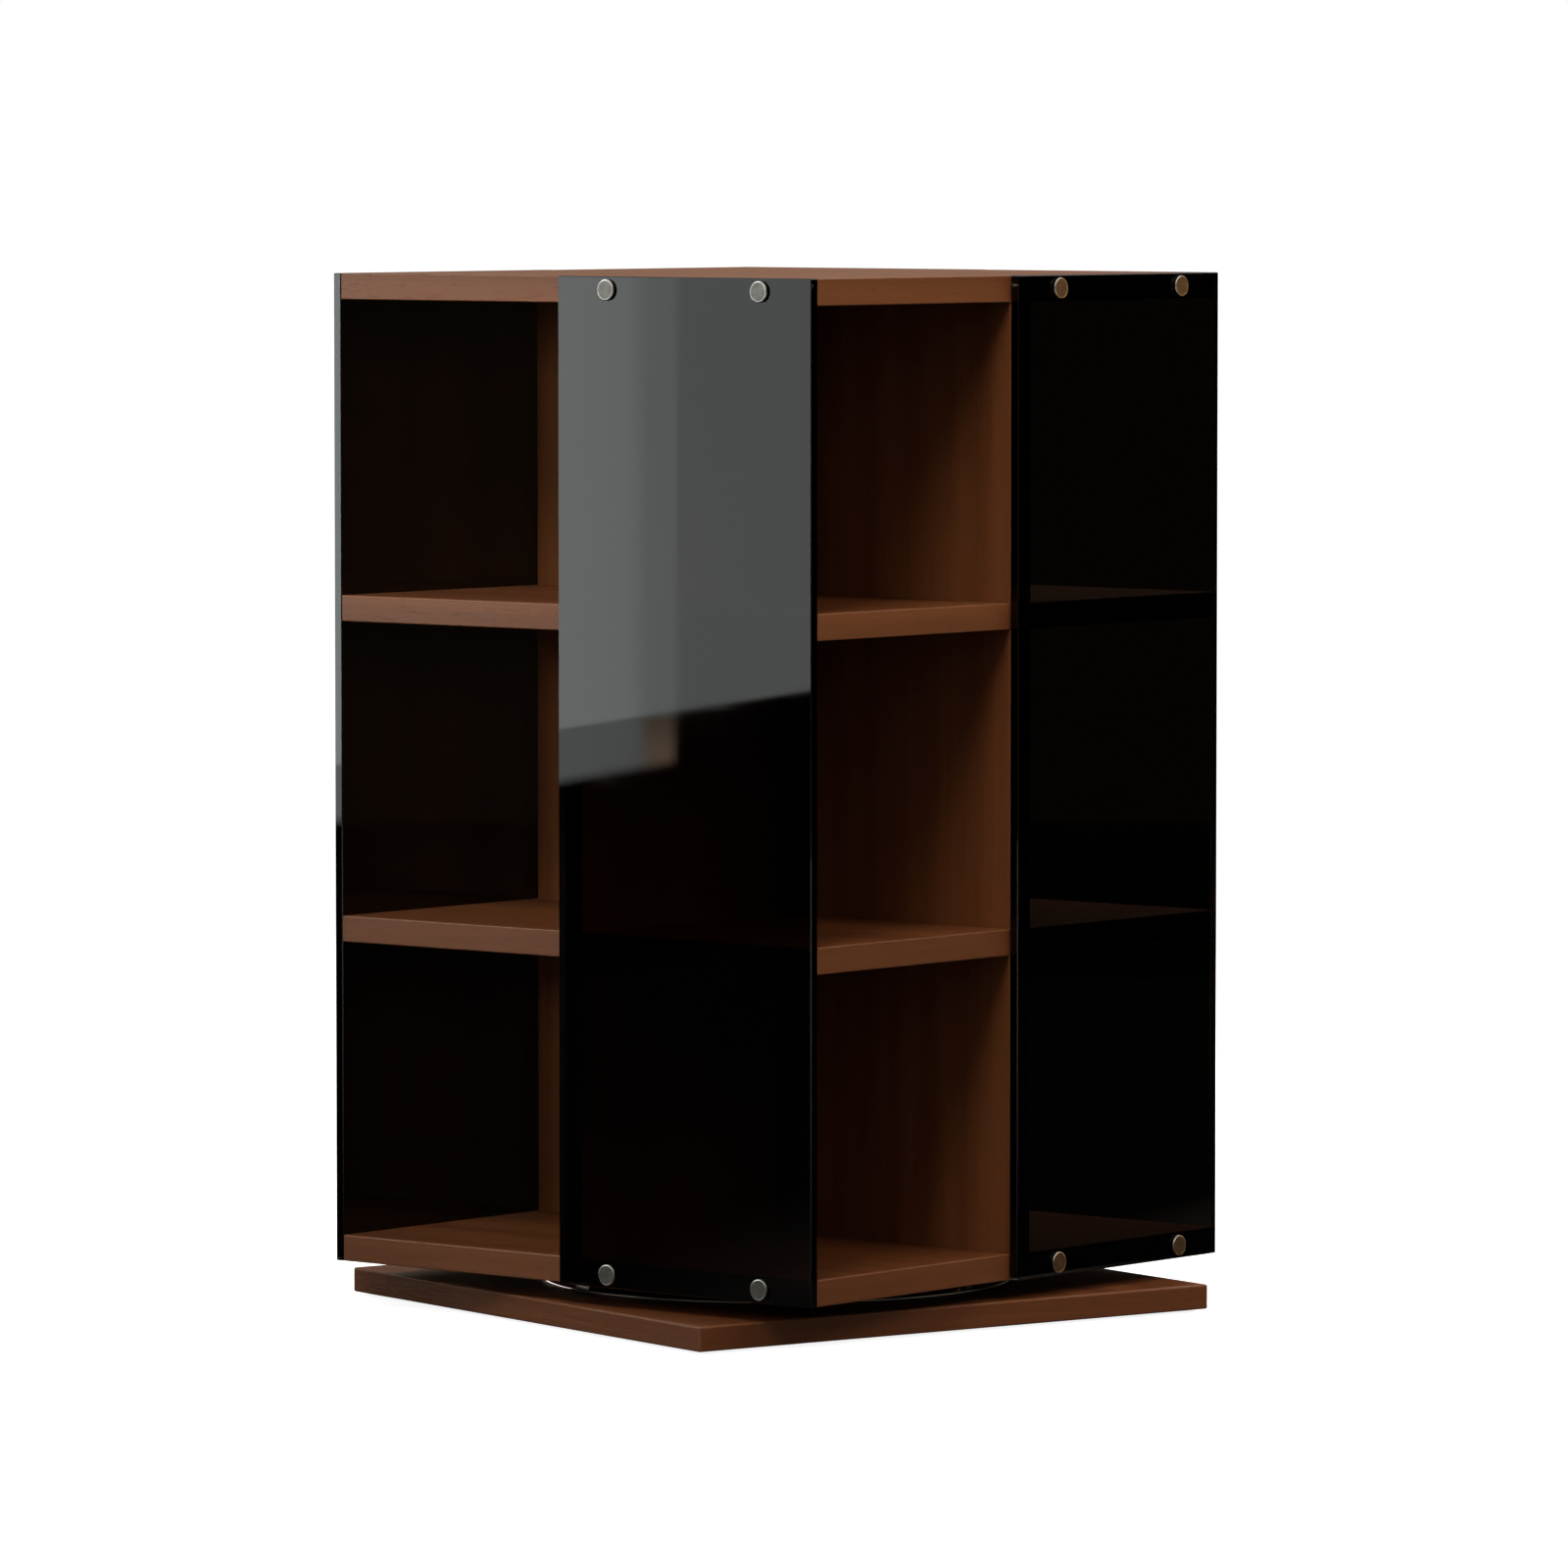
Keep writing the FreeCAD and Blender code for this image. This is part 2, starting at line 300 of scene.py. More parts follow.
@dataclass(frozen=True)
class Bore:
    """A drilled hole, with a countersink if its mouth is wider."""

    mouth: Point
    into: Point
    depth: float
    radius: float
    mouth_radius: float = 0.0
    proud: float = 0.0003
    sides: int = 32

    def cutter(self) -> Piece:
        """Models the solid that takes the hole's material away, a little proud of the mouth.

        Returns:
            The solid.
        """
        aim = Vector(self.into).normalized()
        turn = aim.to_track_quat("Z", "Y").to_euler()
        hole = added(
            bpy.ops.mesh.primitive_cylinder_add, vertices=self.sides, radius=self.radius,
            depth=self.depth + self.proud, rotation=turn,
            location=Vector(self.mouth) + aim * (self.depth - self.proud) / 2)
        if self.mouth_radius:
            sink = self.mouth_radius - self.radius
            cone = added(
                bpy.ops.mesh.primitive_cone_add, vertices=self.sides, rotation=turn,
                radius1=self.mouth_radius + self.proud, radius2=self.radius, depth=sink + self.proud,
                location=Vector(self.mouth) + aim * (sink - self.proud) / 2)
            apply_modifier(hole, "BOOLEAN", object=cone, operation="UNION", solver="EXACT")
            bpy.data.objects.remove(cone)
        settle(hole)
        return hole


def drilled(piece: Piece, bores: Sequence[Bore]) -> None:
    """Drills all bores into the piece.

    Args:
        piece: the mesh object.
        bores: the holes, none of which touch each other.
    """
    cutter = joined([bore.cutter() for bore in bores], "drill")
    apply_modifier(piece, "BOOLEAN", object=cutter, operation="DIFFERENCE", solver="EXACT")
    bpy.data.objects.remove(cutter)


def six_places(distance: float, first: float, height: float) -> list[Point]:
    """Six points at equal steps on a circle about the Z axis.

    Args:
        distance: radius of the circle.
        first: angle of the first point, in degrees.
        height: their height.

    Returns:
        The points.
    """
    angles = [math.radians(first + 60 * index) for index in range(6)]
    return [(distance * math.cos(angle), distance * math.sin(angle), height) for angle in angles]


def mark_eased_edges(piece: Piece) -> None:
    """Stores on each face whether it belongs to an eased edge, for the wear of the finish.

    Args:
        Stores on each face whether it belongs to an eased edge, for the worn tone of the finish and a
        painted highlight along the edges.
    """
    marks = piece.data.attributes.new(EDGE_WEAR_AND_HIGHLIGHT, "FLOAT", "FACE")
    for face, mark in zip(piece.data.polygons, marks.data):
        mark.value = float(max(abs(part) for part in face.normal) < SQUARE_ON)


def turned(degrees: float) -> Matrix:
    """A turn about the tower's axis."""
    return Matrix.Rotation(math.radians(degrees), 4, "Z")


# Tools of the finishes


def rgba(colour: Colour) -> tuple[float, float, float, float]:
    """A colour with full opacity."""
    return (*colour, 1.0)


class NodeDesk:
    """Adds nodes to one tree and joins them."""

    def __init__(self, tree: bpy.types.NodeTree) -> None:
        """Starts on a tree that may already hold nodes."""
        self.tree = tree

    def feed(self, node: bpy.types.Node, inputs: dict) -> None:
        """Gives a node its inputs.

        Args:
            node: the node.
            inputs: for each input, another node's output to join, or a value.
        """
        for key, value in inputs.items():
            if isinstance(value, Socket):
                self.tree.links.new(value, node.inputs[key])
            else:
                node.inputs[key].default_value = value

    def add(self, kind: str, inputs: dict | None = None, **settings: object) -> bpy.types.Node:
        """Adds one node.

        Args:
            kind: the node's type.
            inputs: for each input, another node's output to join, or a value.
            settings: values of the node's own properties.

        Returns:
            The new node.
        """
        node = self.tree.nodes.new(kind)
        for key, value in settings.items():
            setattr(node, key, value)
        self.feed(node, inputs or {})
        return node

    def math(self, operation: str, first: object, second: object = 0.0, clamp: bool = False) -> Socket:
        """The result of one calculation on two numbers or outputs."""
        node = self.add("ShaderNodeMath", {0: first, 1: second}, operation=operation, use_clamp=clamp)
        return node.outputs[0]

    def times(self, first: object, second: object) -> Socket:
        """Two numbers multiplied."""
        return self.math("MULTIPLY", first, second)

    def swing(self, value: Socket, amount: float) -> Socket:
        """How far a value lies from one half, times an amount."""
        return self.times(self.math("SUBTRACT", value, 0.5), amount)

    def vector(self, operation: str, first: object, second: object = None, result: int = 0) -> Socket:
        """The result of one calculation on vectors; result 1 is its number instead of its vector."""
        inputs = {0: first} if second is None else {0: first, 1: second}
        return self.add("ShaderNodeVectorMath", inputs, operation=operation).outputs[result]

    def place(self) -> Socket:
        """The object coordinates."""
        return self.add("ShaderNodeTexCoord").outputs["Object"]

    def part(self, vector: Socket, axis: str) -> Socket:
        """One coordinate of a vector."""
        return self.add("ShaderNodeSeparateXYZ", {0: vector}).outputs[axis]

    def noise(self, vector: Socket, scale: Point, detail: float, rough: float = 0.5) -> bpy.types.Node:
        """A noise texture, stretched to its own scale on each axis.

        Args:
            vector: the coordinates.
            scale: features in each metre, along X, Y and Z.
            detail: number of finer layers.
            rough: weight of the finer layers.

        Returns:
            The noise node.
        """
        spread = self.add("ShaderNodeMapping", {"Vector": vector, "Scale": scale})
        return self.add("ShaderNodeTexNoise", {
            "Vector": spread.outputs[0], "Scale": 1.0, "Detail": detail, "Roughness": rough})

    def speckle(self, vector: Socket, scale: float) -> Socket:
        """Fine noise of the same scale on each axis."""
        return self.noise(vector, (scale,) * 3, 3.0, 0.6).outputs[0]

    def between(self, value: Socket, low: float, high: float,
                to_low: float = 0.0, to_high: float = 1.0) -> Socket:
        """The value moved from one range to another, and held within it.

        Args:
            value: the value.
            low: one end of its range.
            high: the other end.
            to_low: what the one end becomes.
            to_high: what the other end becomes.

        Returns:
            The new value.
        """
        node = self.add("ShaderNodeMapRange", {
            "Value": value, "From Min": low, "From Max": high, "To Min": to_low, "To Max": to_high})
        return node.outputs[0]

    def mix(self, factor: object, first: object, second: object) -> Socket:
        """Two colours mixed by a factor."""
        return self.add("ShaderNodeMix", {0: factor, 6: first, 7: second}, data_type="RGBA").outputs[2]


def new_group(name: str, inputs: dict[str, tuple[str, object]], outputs: dict[str, str]) -> tuple:
    """An empty shader node group with named inputs and outputs.

    Args:
        name: name of the group.
        inputs: for each input its socket type and default value.
        outputs: for each output its socket type.

    Returns:
        The group, a desk on it, the outputs of its input node, and its output node.
    """
    group = bpy.data.node_groups.new(name, "ShaderNodeTree")
    for key, (kind, default) in inputs.items():
        group.interface.new_socket(key, in_out="INPUT", socket_type=kind).default_value = default
    for key, kind in outputs.items():
        group.interface.new_socket(key, in_out="OUTPUT", socket_type=kind)
    desk = NodeDesk(group)
    return group, desk, desk.add("NodeGroupInput").outputs, desk.add("NodeGroupOutput")


def wood_grain_group() -> bpy.types.NodeTree:
    """Long straight grain along X, with broad bands, fine fibres, open pores and lighter eased edges,
    partly worn and partly a painted highlight.

    Returns:
        The node group, with outputs Color, Roughness and Height.
    """
    drift_scale, patch_scale = (2.2, 11.0, 11.0), (5.0, 14.0, 14.0)
    band_scale, fibre_scale, pore_scale = (1.6, 62.0, 62.0), (16.0, 620.0, 620.0), (150.0, 2600.0, 2600.0)
    rub_and_highlight_scale, waviness = (90.0, 90.0, 90.0), (0.0, 0.022, 0.022)
    band_range, pore_range, rub_and_highlight_range = (0.32, 0.68), (0.60, 0.72), (0.30, 0.75, 0.25, 1.0)
    pore_tone, rubbed_and_highlight_tone = rgba((0.012, 0.005, 0.003)), rgba((0.30, 0.16, 0.085))
    band_share, fibre_share, patch_share, pore_share, rubbed_and_highlight_share = 0.62, 0.38, 0.45, 0.30, 0.14
    fibre_gloss, pore_gloss, fibre_height, pore_depth = 0.16, 0.14, 0.35, 0.65
    group, desk, given, result = new_group(
        "wood_grain",
        {
            "Vector": ("NodeSocketVector", (0.0, 0.0, 0.0)),
            "Light": ("NodeSocketColor", (0.15, 0.06, 0.03, 1.0)),
            "Dark": ("NodeSocketColor", (0.07, 0.025, 0.01, 1.0)),
            "Wear_And_Highlight": ("NodeSocketFloat", 0.0),
            "Gloss": ("NodeSocketFloat", 0.38),
        },
        {"Color": "NodeSocketColor", "Roughness": "NodeSocketFloat", "Height": "NodeSocketFloat"},
    )
    place = given["Vector"]
    drift = desk.noise(place, drift_scale, 2.0).outputs["Color"]
    sway = desk.vector("MULTIPLY", desk.vector("SUBTRACT", drift, (0.5, 0.5, 0.5)), waviness)
    waved = desk.vector("ADD", place, sway)
    bands = desk.between(desk.noise(waved, band_scale, 3.0).outputs[0], *band_range)
    fibres = desk.noise(waved, fibre_scale, 2.0, 0.6).outputs[0]
    pores = desk.between(desk.noise(waved, pore_scale, 1.0).outputs[0], *pore_range)
    patches = desk.noise(place, patch_scale, 2.0).outputs[0]
    tone = desk.math("ADD", desk.times(bands, band_share), desk.times(fibres, fibre_share))
    tone = desk.math("ADD", tone, desk.swing(patches, patch_share), clamp=True)
    colour = desk.mix(tone, given["Dark"], given["Light"])
    colour = desk.mix(desk.times(pores, pore_share), colour, pore_tone)
    # eased edges turn lighter: partly rubbed finish, partly a painted highlight along the edges
    rubs_and_highlights = desk.between(desk.noise(place, rub_and_highlight_scale, 3.0).outputs[0], *rub_and_highlight_range)
    colour = desk.mix(desk.times(desk.times(given["Wear_And_Highlight"], rubs_and_highlights), rubbed_and_highlight_share), colour, rubbed_and_highlight_tone)
    gloss = desk.math("ADD", given["Gloss"], desk.swing(fibres, fibre_gloss))
    gloss = desk.math("ADD", gloss, desk.times(pores, pore_gloss))
    height = desk.math("SUBTRACT", desk.times(fibres, fibre_height), desk.times(pores, pore_depth))
    desk.feed(result, {"Color": colour, "Roughness": gloss, "Height": height})
    return group


def handling_group() -> bpy.types.NodeTree:
    """Roughness of a smooth surface with faint wipes and finger marks.

    Returns:
        The node group, with the output Roughness.
    """
    cloud_scale, cloud_range = (1.0, 1.0, 0.6), (0.42, 0.72)
    wipe_scale, wipe_range = (2.0, 2.0, 16.0), (0.30, 0.70, 0.35, 1.0)
    group, desk, given, result = new_group(
        "handling_marks",
        {
            "Vector": ("NodeSocketVector", (0.0, 0.0, 0.0)),
            "Clean": ("NodeSocketFloat", 0.03),
            "Marked": ("NodeSocketFloat", 0.08),
            "Size": ("NodeSocketFloat", 14.0),
        },
        {"Roughness": "NodeSocketFloat"},
    )
    scaled = desk.add("ShaderNodeVectorMath", {0: given["Vector"], "Scale": given["Size"]},
                      operation="SCALE").outputs[0]
    clouds = desk.noise(scaled, cloud_scale, 3.0, 0.6).outputs[0]
    wipes = desk.noise(scaled, wipe_scale, 2.0).outputs[0]
    mask = desk.times(desk.between(clouds, *cloud_range), desk.between(wipes, *wipe_range))
    span = desk.math("SUBTRACT", given["Marked"], given["Clean"])
    desk.feed(result, {"Roughness": desk.math("ADD", given["Clean"], desk.times(mask, span))})
    return group


class Grain(Enum):
    """Direction of the grain, as the turn in degrees that lays it on X."""

    ALONG_X = (0.0, 0.0, 0.0)
    ALONG_Y = (0.0, 0.0, -90.0)
    UPRIGHT = (0.0, 90.0, 0.0)


class Swatch:
    """A new node material: its desk, its Principled shader and its object coordinates."""

    def __init__(self, name: str) -> None:
        """Makes the material.

        Args:
            name: name of the material.
        """
        self.material = bpy.data.materials.new(name)
        self.material.use_nodes = True
        self.desk = NodeDesk(self.material.node_tree)
        self.shader = self.material.node_tree.nodes["Principled BSDF"]
        self.place = self.desk.place()

    def finish(self, inputs: dict, height: Socket | None = None, depth: float = 0.0) -> bpy.types.Material:
        """Feeds the shader and gives it relief.

        Args:
            inputs: the shader's inputs, by name.
            height: the relief's height, from 0 to 1.
            depth: depth of the relief in metres.

        Returns:
            The material.
        """
        self.desk.feed(self.shader, inputs)
        if height is not None:
            relief = self.desk.add("ShaderNodeBump", {"Height": height, "Strength": 1.0, "Distance": depth})
            self.desk.feed(self.shader, {"Normal": relief.outputs[0]})
        return self.material

    def handled(self, group: bpy.types.NodeTree, clean: float, marked: float, size: float = 14.0) -> Socket:
        """Roughness with the marks of hands.

        Args:
            group: the group of wipes and finger marks.
            clean: roughness of the clean surface.
            marked: roughness of a mark.
            size: marks in each metre.

        Returns:
            The roughness.
        """
        marks = self.desk.add("ShaderNodeGroup", {
            "Vector": self.place, "Clean": clean, "Marked": marked, "Size": size}, node_tree=group)
        return marks.outputs[0]


@dataclass(frozen=True)
class WoodFinish:
    """Oiled wood with grain in one direction; ``turn`` is the piece's own turn in degrees."""

    name: str
    grain: Grain
    light: Colour = (0.150, 0.0500, 0.0182)
    dark: Colour = (0.072, 0.0205, 0.0067)
    gloss: float = 0.35
    turn: float = 0.0
    relief: float = 0.00004
    ior: float = 1.45
    specular: float = 0.33

    def build(self, grain_group: bpy.types.NodeTree) -> bpy.types.Material:
        """Makes the material.

        Args:
            grain_group: the group that paints the grain.

        Returns:
            The material.
        """
        swatch = Swatch(self.name)
        place = swatch.place
        if self.turn:
            place = swatch.desk.add("ShaderNodeMapping", {
                "Vector": place, "Rotation": (0.0, 0.0, math.radians(-self.turn))}).outputs[0]
        laid = swatch.desk.add("ShaderNodeMapping", {
            "Vector": place, "Rotation": [math.radians(angle) for angle in self.grain.value]})
        # the eased-edge mask lightens the edges: partly rubbing, partly a painted highlight
        wear_and_highlight = swatch.desk.add("ShaderNodeAttribute", attribute_name=EDGE_WEAR_AND_HIGHLIGHT)
        wood = swatch.desk.add("ShaderNodeGroup", {
            "Vector": laid.outputs[0], "Light": rgba(self.light), "Dark": rgba(self.dark),
            "Wear_And_Highlight": wear_and_highlight.outputs["Fac"], "Gloss": self.gloss}, node_tree=grain_group).outputs
        return swatch.finish({
            "Base Color": wood["Color"], "Roughness": wood["Roughness"], "IOR": self.ior,
            "Specular IOR Level": self.specular}, wood["Height"], self.relief)


@dataclass(frozen=True)
class SmokedFinish:
    """Dark translucent sheet with a polished face."""

    name: str = "smoked_sheet"
    tint: Colour = (0.070, 0.061, 0.053)
    clean: float = 0.014
    marked: float = 0.040
    ior: float = 1.49

    def build(self, handling: bpy.types.NodeTree) -> bpy.types.Material:
        """Makes the material.

        Args:
            handling: the group of wipes and finger marks.

        Returns:
            The material.
        """
        swatch = Swatch(self.name)
        roughness = swatch.handled(handling, self.clean, self.marked)
        return swatch.finish({
            "Roughness": roughness, "Base Color": rgba(self.tint), "Transmission Weight": 1.0,
            "IOR": self.ior})


@dataclass(frozen=True)
class MetalFinish:
    """Metal with fine mottling, and turning rings where the piece has a UV map for them.

    ``clean`` and ``marked`` are its roughness without and with the marks of hands, and ``rings`` is the
    number of turning rings in a millimetre.
    """

    name: str
    colour: Colour
    clean: float
    marked: float
    rings: float = 0.0
    relief: float = 0.000004
    mottle: float = 400.0
    grain_range: tuple[float, float] = (0.35, 0.65)
    dull: float = 0.72
    ring_height: float = 0.5
    grain_height: float = 0.6
    mark_size: float = 60.0

    def build(self, handling: bpy.types.NodeTree) -> bpy.types.Material:
        """Makes the material.

        Args:
            handling: the group of wipes and finger marks.

        Returns:
            The material.
        """
        swatch = Swatch(self.name)
        desk = swatch.desk
        roughness = swatch.handled(handling, self.clean, self.marked, self.mark_size)
        grains = desk.speckle(swatch.place, self.mottle)
        dulled = rgba(tuple(part * self.dull for part in self.colour))
        tone = desk.mix(desk.between(grains, *self.grain_range), dulled, rgba(self.colour))
        height = grains
        if self.rings:
            reach = desk.vector("LENGTH", desk.add("ShaderNodeTexCoord").outputs["UV"], result=1)
            ridge = desk.math("SINE", desk.times(reach, self.rings * 2 * math.pi))
            rings, grit = desk.times(ridge, self.ring_height), desk.times(grains, self.grain_height)
            height = desk.math("ADD", rings, grit)
        return swatch.finish(
            {"Roughness": roughness, "Base Color": tone, "Metallic": 1.0}, height, self.relief)


@dataclass(frozen=True)
class RingFinish:
    """Pressed steel ring, lacquered black, whose cut rim is bare and bright; the near-black of the
    lacquered body is partly painted shade for the dark gap under the tower.
    """

    name: str = "lacquered_ring_painted_shade"
    rim_start: float = 0.1150
    rim_blend: float = 0.0002
    # near-black body colour: partly a lacquered finish, partly painted shade
    lacquer_and_shade: Colour = (0.012, 0.012, 0.012)
    dust: Colour = (0.06, 0.055, 0.05)
    dust_scale: float = 120.0
    dust_range: tuple[float, ...] = (0.45, 0.75, 0.0, 0.25)
    steel: Colour = (0.72, 0.70, 0.68)
    clean: float = 0.10
    marked: float = 0.16
    mark_size: float = 40.0
    relief: float = 0.000004

    def build(self, handling: bpy.types.NodeTree) -> bpy.types.Material:
        """Makes the material.

        Args:
            handling: the group of wipes and finger marks.

        Returns:
            The material.
        """
        swatch = Swatch(self.name)
        desk = swatch.desk
        reach = desk.vector("LENGTH", desk.vector("MULTIPLY", swatch.place, (1.0, 1.0, 0.0)), result=1)
        bare = desk.between(reach, self.rim_start, self.rim_start + self.rim_blend)
        specks = desk.speckle(swatch.place, self.dust_scale)
        # body colour, partly painted shade, with real dust specks
        film_and_shade = desk.mix(desk.between(specks, *self.dust_range), rgba(self.lacquer_and_shade), rgba(self.dust))
        roughness = swatch.handled(handling, self.clean, self.marked, self.mark_size)
        tone = desk.mix(bare, film_and_shade, rgba(self.steel))
        return swatch.finish(
            {"Roughness": roughness, "Base Color": tone, "Metallic": bare}, specks, self.relief)


@dataclass(frozen=True)
class MouldedFinish:
    """Moulded plastic or rubber with a fine skin of so many features in a metre."""

    name: str
    light: Colour
    dark: Colour
    roughness: float
    skin: float
    relief: float
    unevenness: float = 0.06
    cloud_scale: Point = (35.0, 35.0, 35.0)
    noise_range: tuple[float, float] = (0.3, 0.7)

    def build(self) -> bpy.types.Material:
        """Makes the material.

        Returns:
            The material.
        """
        swatch = Swatch(self.name)
        desk = swatch.desk
        skin = desk.speckle(swatch.place, self.skin)
        clouds = desk.noise(swatch.place, self.cloud_scale, 2.0).outputs[0]
        smoothest, roughest = self.roughness - self.unevenness, self.roughness + self.unevenness
        rough = desk.between(skin, *self.noise_range, smoothest, roughest)
        colour = desk.mix(desk.between(clouds, *self.noise_range), rgba(self.dark), rgba(self.light))
        return swatch.finish({"Base Color": colour, "Roughness": rough}, skin, self.relief)


class Finishes:
    """All finishes of the rack, built once."""

    def __init__(self, base_turn: float) -> None:
        """Builds the shared groups and every material.

        Args:
            base_turn: the base's own turn against the tower, in degrees.
        """
        grain, handling = wood_grain_group(), handling_group()
        self.board = [WoodFinish("walnut_along_x", Grain.ALONG_X).build(grain),
                      WoodFinish("walnut_along_y", Grain.ALONG_Y).build(grain)]
        self.base = [WoodFinish("base_walnut_along", Grain.ALONG_X, turn=base_turn).build(grain),
                     WoodFinish("base_walnut_across", Grain.ALONG_Y, turn=base_turn).build(grain)]
        self.divider = WoodFinish("walnut_upright", Grain.UPRIGHT).build(grain)
        self.dowel = WoodFinish(
            "beech_dowel", Grain.UPRIGHT, (0.52, 0.34, 0.19), (0.40, 0.24, 0.12), 0.55).build(grain)
        self.panel = SmokedFinish().build(handling)
        # caps: the face and rim differ in polish, and the face's dark nickel is partly painted shade, the
        # rim's bright nickel partly a painted highlight
        self.cap_face_painted_shade = MetalFinish(
            "satin_nickel_face_painted_shade", (0.17, 0.162, 0.148), 0.40, 0.48, rings=3.6).build(handling)
        self.cap_rim_painted_highlight = MetalFinish("polished_nickel_rim_painted_highlight", (0.62, 0.60, 0.56), 0.26, 0.34).build(handling)
        # the ring's near-black body colour is partly painted shade for the dark gap under the tower
        self.ring = RingFinish().build(handling)
        self.zinc = MetalFinish("zinc_plate", (0.66, 0.67, 0.69), 0.24, 0.38).build(handling)
        # blackened steel, dark partly as painted shade: it darkens the ring's screws and the caps' sides
        # and undersides
        self.black_steel_painted_shade = MetalFinish("blackened_steel_painted_shade", (0.050, 0.050, 0.052), 0.36, 0.46).build(handling)
        self.ball = MetalFinish(
            "polished_ball_steel", (0.78, 0.78, 0.79), 0.07, 0.12, relief=0.0000005).build(handling)
        self.cage = MouldedFinish(
            "natural_nylon", (0.70, 0.67, 0.60), (0.62, 0.58, 0.50), 0.45, 900.0, 0.00001).build()
        self.pad = MouldedFinish(
            "pad_rubber", (0.040, 0.038, 0.036), (0.025, 0.024, 0.023), 0.82, 1800.0, 0.00005).build()


def dress(piece: Piece, *materials: bpy.types.Material) -> None:
    """Gives a new piece its material slots.

    Args:
        piece: the mesh object.
        materials: the slots' materials, in order.
    """
    piece.data.materials.clear()
    for material in materials:
        piece.data.materials.append(material)


def dress_node(name: str, material: bpy.types.Material) -> None:
    """Gives a CAD node a better material in each of its slots.

    Args:
        name: the node's name.
        material: the finish.
    """
    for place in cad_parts[name].material_slots:
        place.material = material
    LOG.info("dressed %s in %s", name, material.name)


def fit(piece: Piece, body: str, finish_slot: str, *nodes: str) -> None:
    """Lets a finished piece ride on a body in place of CAD nodes.

    Args:
        piece: the finished piece.
        body: the body that it moves with.
        finish_slot: the record's material slot; not used.
        nodes: the CAD nodes that it stands for.
    """
    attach(piece, body)
    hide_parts(*nodes)
    LOG.info("%s: %d faces, rides on %s", piece.name, len(piece.data.polygons), body)


# The sub-assemblies


@dataclass
class Board:
    """A square wooden board with eased edges and glued edge bands."""

    side: float
    thickness: float
    edge_radius: float
    band: float = 0.0013
    seam: float = 0.00022
    seam_depth: float = 0.00012

    def build(self, name: str, bottom: float) -> Piece:
        """Models the board without its holes.

        Args:
            name: name of the piece.
            bottom: height of its underside.

        Returns:
            The board, centred on the Z axis.
        """
        half = self.side / 2
        board = block(name, (-half, -half, bottom), (half, half, bottom + self.thickness))
        with editing(board):
            bpy.ops.mesh.select_all(action="SELECT")
            bpy.ops.mesh.bevel(offset=self.edge_radius, segments=4, profile=0.5, affect="EDGES")
            pick_faces(board, is_level)
            bpy.ops.mesh.inset(thickness=self.band - self.edge_radius)
            bpy.ops.mesh.inset(thickness=self.seam / 2, depth=-self.seam_depth)
            bpy.ops.mesh.inset(thickness=self.seam / 2, depth=self.seam_depth)
        return board

    def finish(self, board: Piece, bores: Sequence[Bore], finishes: Sequence[bpy.types.Material]) -> None:
        """Drills the board, marks its eased edges for their worn tone and painted highlight, and gives it
        its two finishes.

        Args:
            board: the board.
            bores: its holes.
            finishes: wood with grain along X, and along Y for the bands at the X ends.
        """
        drilled(board, bores)
        mark_eased_edges(board)
        dress(board, *finishes)
        with editing(board):
            give_slot(board, self.is_end_band, 1)
        smoothed(board)

    def is_end_band(self, centre: Vector, normal: Vector) -> bool:
        """Whether a face belongs to the band at one of the X ends."""
        inner = self.side / 2 - self.band - self.seam
        return abs(centre.x) > inner and abs(centre.x) > abs(centre.y)


